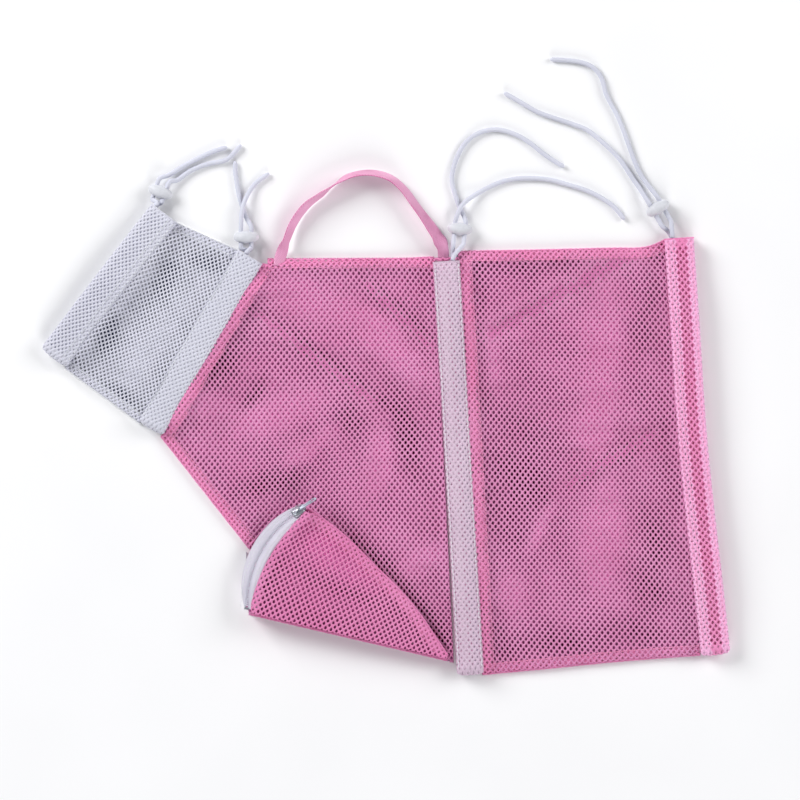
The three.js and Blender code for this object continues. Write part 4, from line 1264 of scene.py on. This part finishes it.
def zipper_teeth():
    count = 66
    for side, name, phase in ((1, "outer", 0.0), (-1, "inner", 0.5)):
        turn = ZIP_START + 1.6 + (np.arange(count) + phase) * (ZIP_END - ZIP_START - 3.2) / count
        centres = zip_point(ZIP_RADIUS + side * 0.75, turn, 0.35)
        a = np.radians(turn)
        outward = unit(np.column_stack([np.cos(a), np.sin(a), np.full(count, -ZIP_SLOPE)]))
        up = unit(np.column_stack([np.cos(a) * ZIP_SLOPE, np.sin(a) * ZIP_SLOPE, np.ones(count)]))
        capsules(f"zipper_teeth_{name}", centres, outward, up, (1.25, 0.42, 0.8), COIL, "leg_flap",
                 "zipper_coil", [f"zipper_coil_{name}"])
    for node in ("zipper_top_stop", "zipper_bottom_stop"):
        NODES[node].data.materials.clear()
        NODES[node].data.materials.append(METAL)


def from_slider(p):
    origin, across, along, off = slider_frame()
    return origin + p[:, :1] * across + p[:, 1:2] * along + p[:, 2:] * off


def slider():
    """Two shield-shaped plates joined by a post, with a bridge for the pull tab on the upper one."""
    shield = [(-2.6, 5.2), (2.6, 5.2), (3.7, 3.2), (3.7, -2.6), (3.0, -4.5), (1.2, -4.6), (0, -3.4),
              (-1.2, -4.6), (-3.0, -4.5), (-3.7, -2.6), (-3.7, 3.2)][::-1]
    y = np.linspace(-2.6, 4.2, 16)
    rise = 1.9 * np.sqrt(np.maximum(0, 1 - ((y - 0.8) / 3.4) ** 2))
    arch = np.column_stack([np.zeros(16), y, 2.1 + rise])
    tangent = unit(np.gradient(arch, axis=0))
    side = np.tile((1.0, 0, 0), (16, 1))
    turn = np.linspace(0, 2 * math.pi, 12, endpoint=False)
    section = np.stack([1.0 * np.cos(turn), 0.45 * np.sin(turn)], -1)
    hoop = tube(arch, side, np.cross(side, tangent), section)
    post = plate([(0.25 * math.cos(t), 3.2 + 0.9 * math.sin(t)) for t in turn], -1.8, 1.8, 0.05)
    points, faces = join([plate(shield, 1.3, 2.4, 0.35), plate(shield, -2.4, -1.3, 0.35), hoop, post])
    build("zipper_slider_metal", from_slider(points), faces, METAL, "slider", ["zipper_slider"],
          "zipper_metal")


def rounded_box(half_x, half_y, power_x, power_y, turn):
    """An outline between an ellipse and a box; a lower power is squarer."""
    x, y = np.cos(turn), np.sin(turn)
    x, y = np.sign(x) * np.abs(x) ** power_x, np.sign(y) * np.abs(y) ** power_y
    return np.column_stack([half_x * x, half_y * y])


def pull_tab():
    """A flat tab with rounded edges and a slot near its far end."""
    z, n, middle = 3.5, 48, (0, 9.5)
    turn = np.linspace(0, 2 * math.pi, n, endpoint=False)
    outer = rounded_box(1.2, 8.5, 0.6, 0.35, turn)
    slot = rounded_box(0.5, 1.7, 0.7, 1.0, turn) + (0, 14.6)
    levels = [(-0.5, 0.25), (-0.3, 0), (0.3, 0), (0.5, 0.25)]
    loops = [np.column_stack([outer * (1 - k / 6) + middle, np.full(n, z + h)]) for h, k in levels]
    loops += [np.column_stack([slot, np.full(n, z + h)]) for h in (0.45, -0.45)]
    first, last = np.arange(n), np.arange(n) + 5 * n
    inside = np.stack([last, np.roll(last, -1), np.roll(first, -1), first], -1)
    faces = [grid_faces(6, n, close=True), inside]
    build("zipper_pull_tab", from_slider(np.vstack(loops)), faces, PULL_GREY, "pull", ["zipper_pull"],
          "zipper_metal")


zipper_tapes()
zipper_teeth()
slider()
pull_tab()


def hidden_zipper():
    """The zipper's lower run, under the fold."""
    low, high = (np.array(p) * 1000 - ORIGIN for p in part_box("zipper_lower_run"))
    y = np.linspace(low[1], high[1], 30)
    x = (low[0] + high[0]) / 2 + 0.15 * np.sin(y / 5)
    line = lambda z: np.column_stack([x, y, np.full(30, z)])
    band("zipper_lower_cloth", (line(high[2] - 0.2), line(low[2] + 0.2)), 0.7, TAPE, "bag",
         ["zipper_lower_run"], "zipper_tape")


hidden_zipper()


# ---------------------------------------------------------------- handle

STRAP = [(-83.4, 117), (-82.6, 127), (-77.2, 142), (-72, 154.6), (-62.1, 168.2), (-49.5, 177.6),
         (-39.1, 185.4), (-28.7, 191.7), (-13, 194.3), (2.7, 190.6), (13.1, 182.3), (23.6, 168.2),
         (35, 152.5), (42.5, 140.5), (44.5, 134.5), (44.8, 125.5)]
# How far the strap is turned on its edge, in degrees, at shares of its length.
STRAP_TILT = [(0, 20), (0.06, 62), (0.2, 70), (0.3, 78), (0.36, 92), (0.43, 108), (0.6, 113), (0.8, 116),
              (0.93, 126), (1, 160)]
STRAP_HALF, STRAP_THICK = 7.0, 1.3


def tilt_at(share):
    shares, angles = np.array(STRAP_TILT, float).T
    i = np.clip(np.searchsorted(shares, share) - 1, 0, len(shares) - 2)
    t = np.clip((share - shares[i]) / (shares[i + 1] - shares[i]), 0, 1)
    return np.radians(angles[i] + (angles[i + 1] - angles[i]) * t * t * (3 - 2 * t))


def handle():
    line = along_curve(STRAP, 1.0)[5:]
    s = lengths(line)
    tucked = np.maximum(smooth(s, 11, 3), smooth(s, s[-1] - 10, s[-1] - 3))
    share = np.clip((s - 10) / (s[-1] - 19), 0, 1)
    tangent = unit(np.gradient(line, axis=0))
    tilt = tilt_at(share)
    side = np.column_stack([tangent[:, 1], -tangent[:, 0], np.zeros(len(line))])
    across = -side * np.cos(tilt)[:, None] + np.array([0, 0, 1.0]) * np.sin(tilt)[:, None]
    z = 1.2 + 7 * np.abs(np.sin(tilt)) + 2 * smooth(np.abs(share - 0.5), 0.4, 0.5) - 1.2 * tucked
    centre = np.column_stack([line, z])
    half = (STRAP_HALF * (1 - 0.36 * smooth(share, 0.2, 0)) * (1 - 0.36 * smooth(share, 0.95, 1)))[:, None]
    sides = (centre + across * half, centre - across * half)
    strap = band("handle_webbing", sides, STRAP_THICK, WEBBING, None,
                 ["handle_strap", "handle_tab_left", "handle_tab_right"], "pink_webbing", count=14)
    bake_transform(strap)


handle()


# ---------------------------------------------------------------- cord locks

def locks():
    """Each lock's own solid, with its edges softened."""
    for key in LOCKS:
        source = NODES[f"{key}_cord_lock"]
        work = bpy.data.objects.new("work", source.data.copy())
        bpy.context.scene.collection.objects.link(work)
        remesh = work.modifiers.new("remesh", "REMESH")
        remesh.mode, remesh.voxel_size = "VOXEL", 0.00038
        soften = work.modifiers.new("soften", "SMOOTH")
        soften.factor, soften.iterations = 0.5, 5
        evaluated = work.evaluated_get(bpy.context.evaluated_depsgraph_get())
        mesh = bpy.data.meshes.new_from_object(evaluated)
        bpy.data.objects.remove(work)
        mesh.materials.clear()
        mesh.materials.append(SILICONE)
        for polygon in mesh.polygons:
            polygon.use_smooth = True
        obj = bpy.data.objects.new(f"{key}_lock_bean", mesh)
        bpy.context.scene.collection.objects.link(obj)
        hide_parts(f"{key}_cord_lock")
        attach(obj, f"{key}_lock")


locks()


# ---------------------------------------------------------------- stitching

def stitches(rows):
    """Centres, directions and upward directions of the stitches along rows of 3-D points."""
    centres, along, up = [], [], []
    for line in rows:
        line = along_curve(line, 3.1)
        centres.append((line[:-1] + line[1:]) / 2)
        along.append(np.diff(line, axis=0))
        up.append(np.tile((0, 0, 1.0), (len(line) - 1, 1)))
    return np.vstack(centres), np.vstack(along), np.vstack(up)


def channel_row(key, aside):
    """A row of stitches down the front of a channel."""
    channel = CHANNELS[key]
    s = np.linspace(2.0, channel.length, 80)
    centre, side, up = channel.frame(s)
    return centre + side * aside + up * (CHANNEL_HALF + 0.45 - 0.9 * (abs(aside) > 9))


def skin_row(line, skin, aside):
    """A row of stitches on a front layer, aside from a line."""
    line = along_curve(line, 6)
    d = unit(np.gradient(line, axis=0))
    line = line + np.column_stack([-d[:, 1], d[:, 0]]) * aside
    return np.column_stack([line, skin(line) + 0.5])


def stitching():
    white = [channel_row("nose", 5.8), channel_row("nose", 10.6), channel_row("neck", -9.4),
             channel_row("neck", 9.6), channel_row("waist", -9), channel_row("waist", 9),
             skin_row(HEAD_TOP, HEAD_SKIN, -6), skin_row(HEAD_BOTTOM, HEAD_SKIN, 6)]
    pink = [channel_row("tail", -9), channel_row("tail", -5.4), channel_row("tail", 9),
            skin_row(CHEST_TOP, CHEST_SKIN, -7.5), skin_row(CHEST_LEFT[:2], CHEST_SKIN, 7.5),
            skin_row(REAR_TOP, REAR_SKIN, -7.5), skin_row(REAR_BOTTOM, REAR_SKIN, 7.5),
            skin_row(REAR_WAIST, REAR_SKIN, 8.0), skin_row(CHEST_NECK, CHEST_SKIN, 7.0)]
    size = (1.15, 0.3, 0.28)
    capsules("stitching_white", *stitches(white), size, STITCH_WHITE, "bag", "white_net")
    capsules("stitching_pink", *stitches(pink), size, STITCH_PINK, "bag", "pink_trim")
    tape = [zip_point(r, np.linspace(ZIP_START + 1, ZIP_END - 1, 40), 0.5) for r in (82.5, 91.5)]
    capsules("stitching_zipper", *stitches(tape), (1.1, 0.28, 0.25), STITCH_WHITE, "leg_flap",
             "zipper_tape")


stitching()


# ---------------------------------------------------------------- floor and light

def floor():
    half, z = 3000, -0.05
    verts = [(-half, -half, z), (half, -half, z), (half, half, z), (-half, half, z)]
    material, tree, shader = nodes_of("floor")
    pale = ramp(tree, noise(tree, 6.0, 2.0), [(0.3, (0.93, 0.93, 0.94)), (0.7, (0.96, 0.96, 0.97))])
    tree.links.new(pale, shader.inputs["Base Color"])
    shader.inputs["Roughness"].default_value = 0.9
    shader.inputs["Specular IOR Level"].default_value = 0.1
    build("floor", verts, [np.array([[0, 1, 2, 3]])], material)


def area_light(name, location, size, power):
    data = bpy.data.lights.new(name, "AREA")
    data.shape, data.size, data.energy = "SQUARE", size, power
    obj = bpy.data.objects.new(name, data)
    obj.location = location
    obj.rotation_euler = (Vector((0, 0, 0)) - Vector(location)).to_track_quat("-Z", "Y").to_euler()
    bpy.context.scene.collection.objects.link(obj)


def lights():
    area_light("key", (-1.9, 1.5, 1.45), 1.4, 72)
    area_light("fill", (2.3, 0.9, 1.5), 1.5, 44)
    area_light("front", (0.3, -2.5, 1.5), 1.5, 40)
    world = bpy.data.worlds.new("world")
    world.use_nodes = True
    shade = world.node_tree.nodes["Background"]
    shade.inputs["Color"].default_value = (0.93, 0.95, 1.0, 1)
    shade.inputs["Strength"].default_value = 0.14
    bpy.context.scene.world = world
    bpy.context.scene.view_settings.view_transform = "Standard"


floor()
lights()
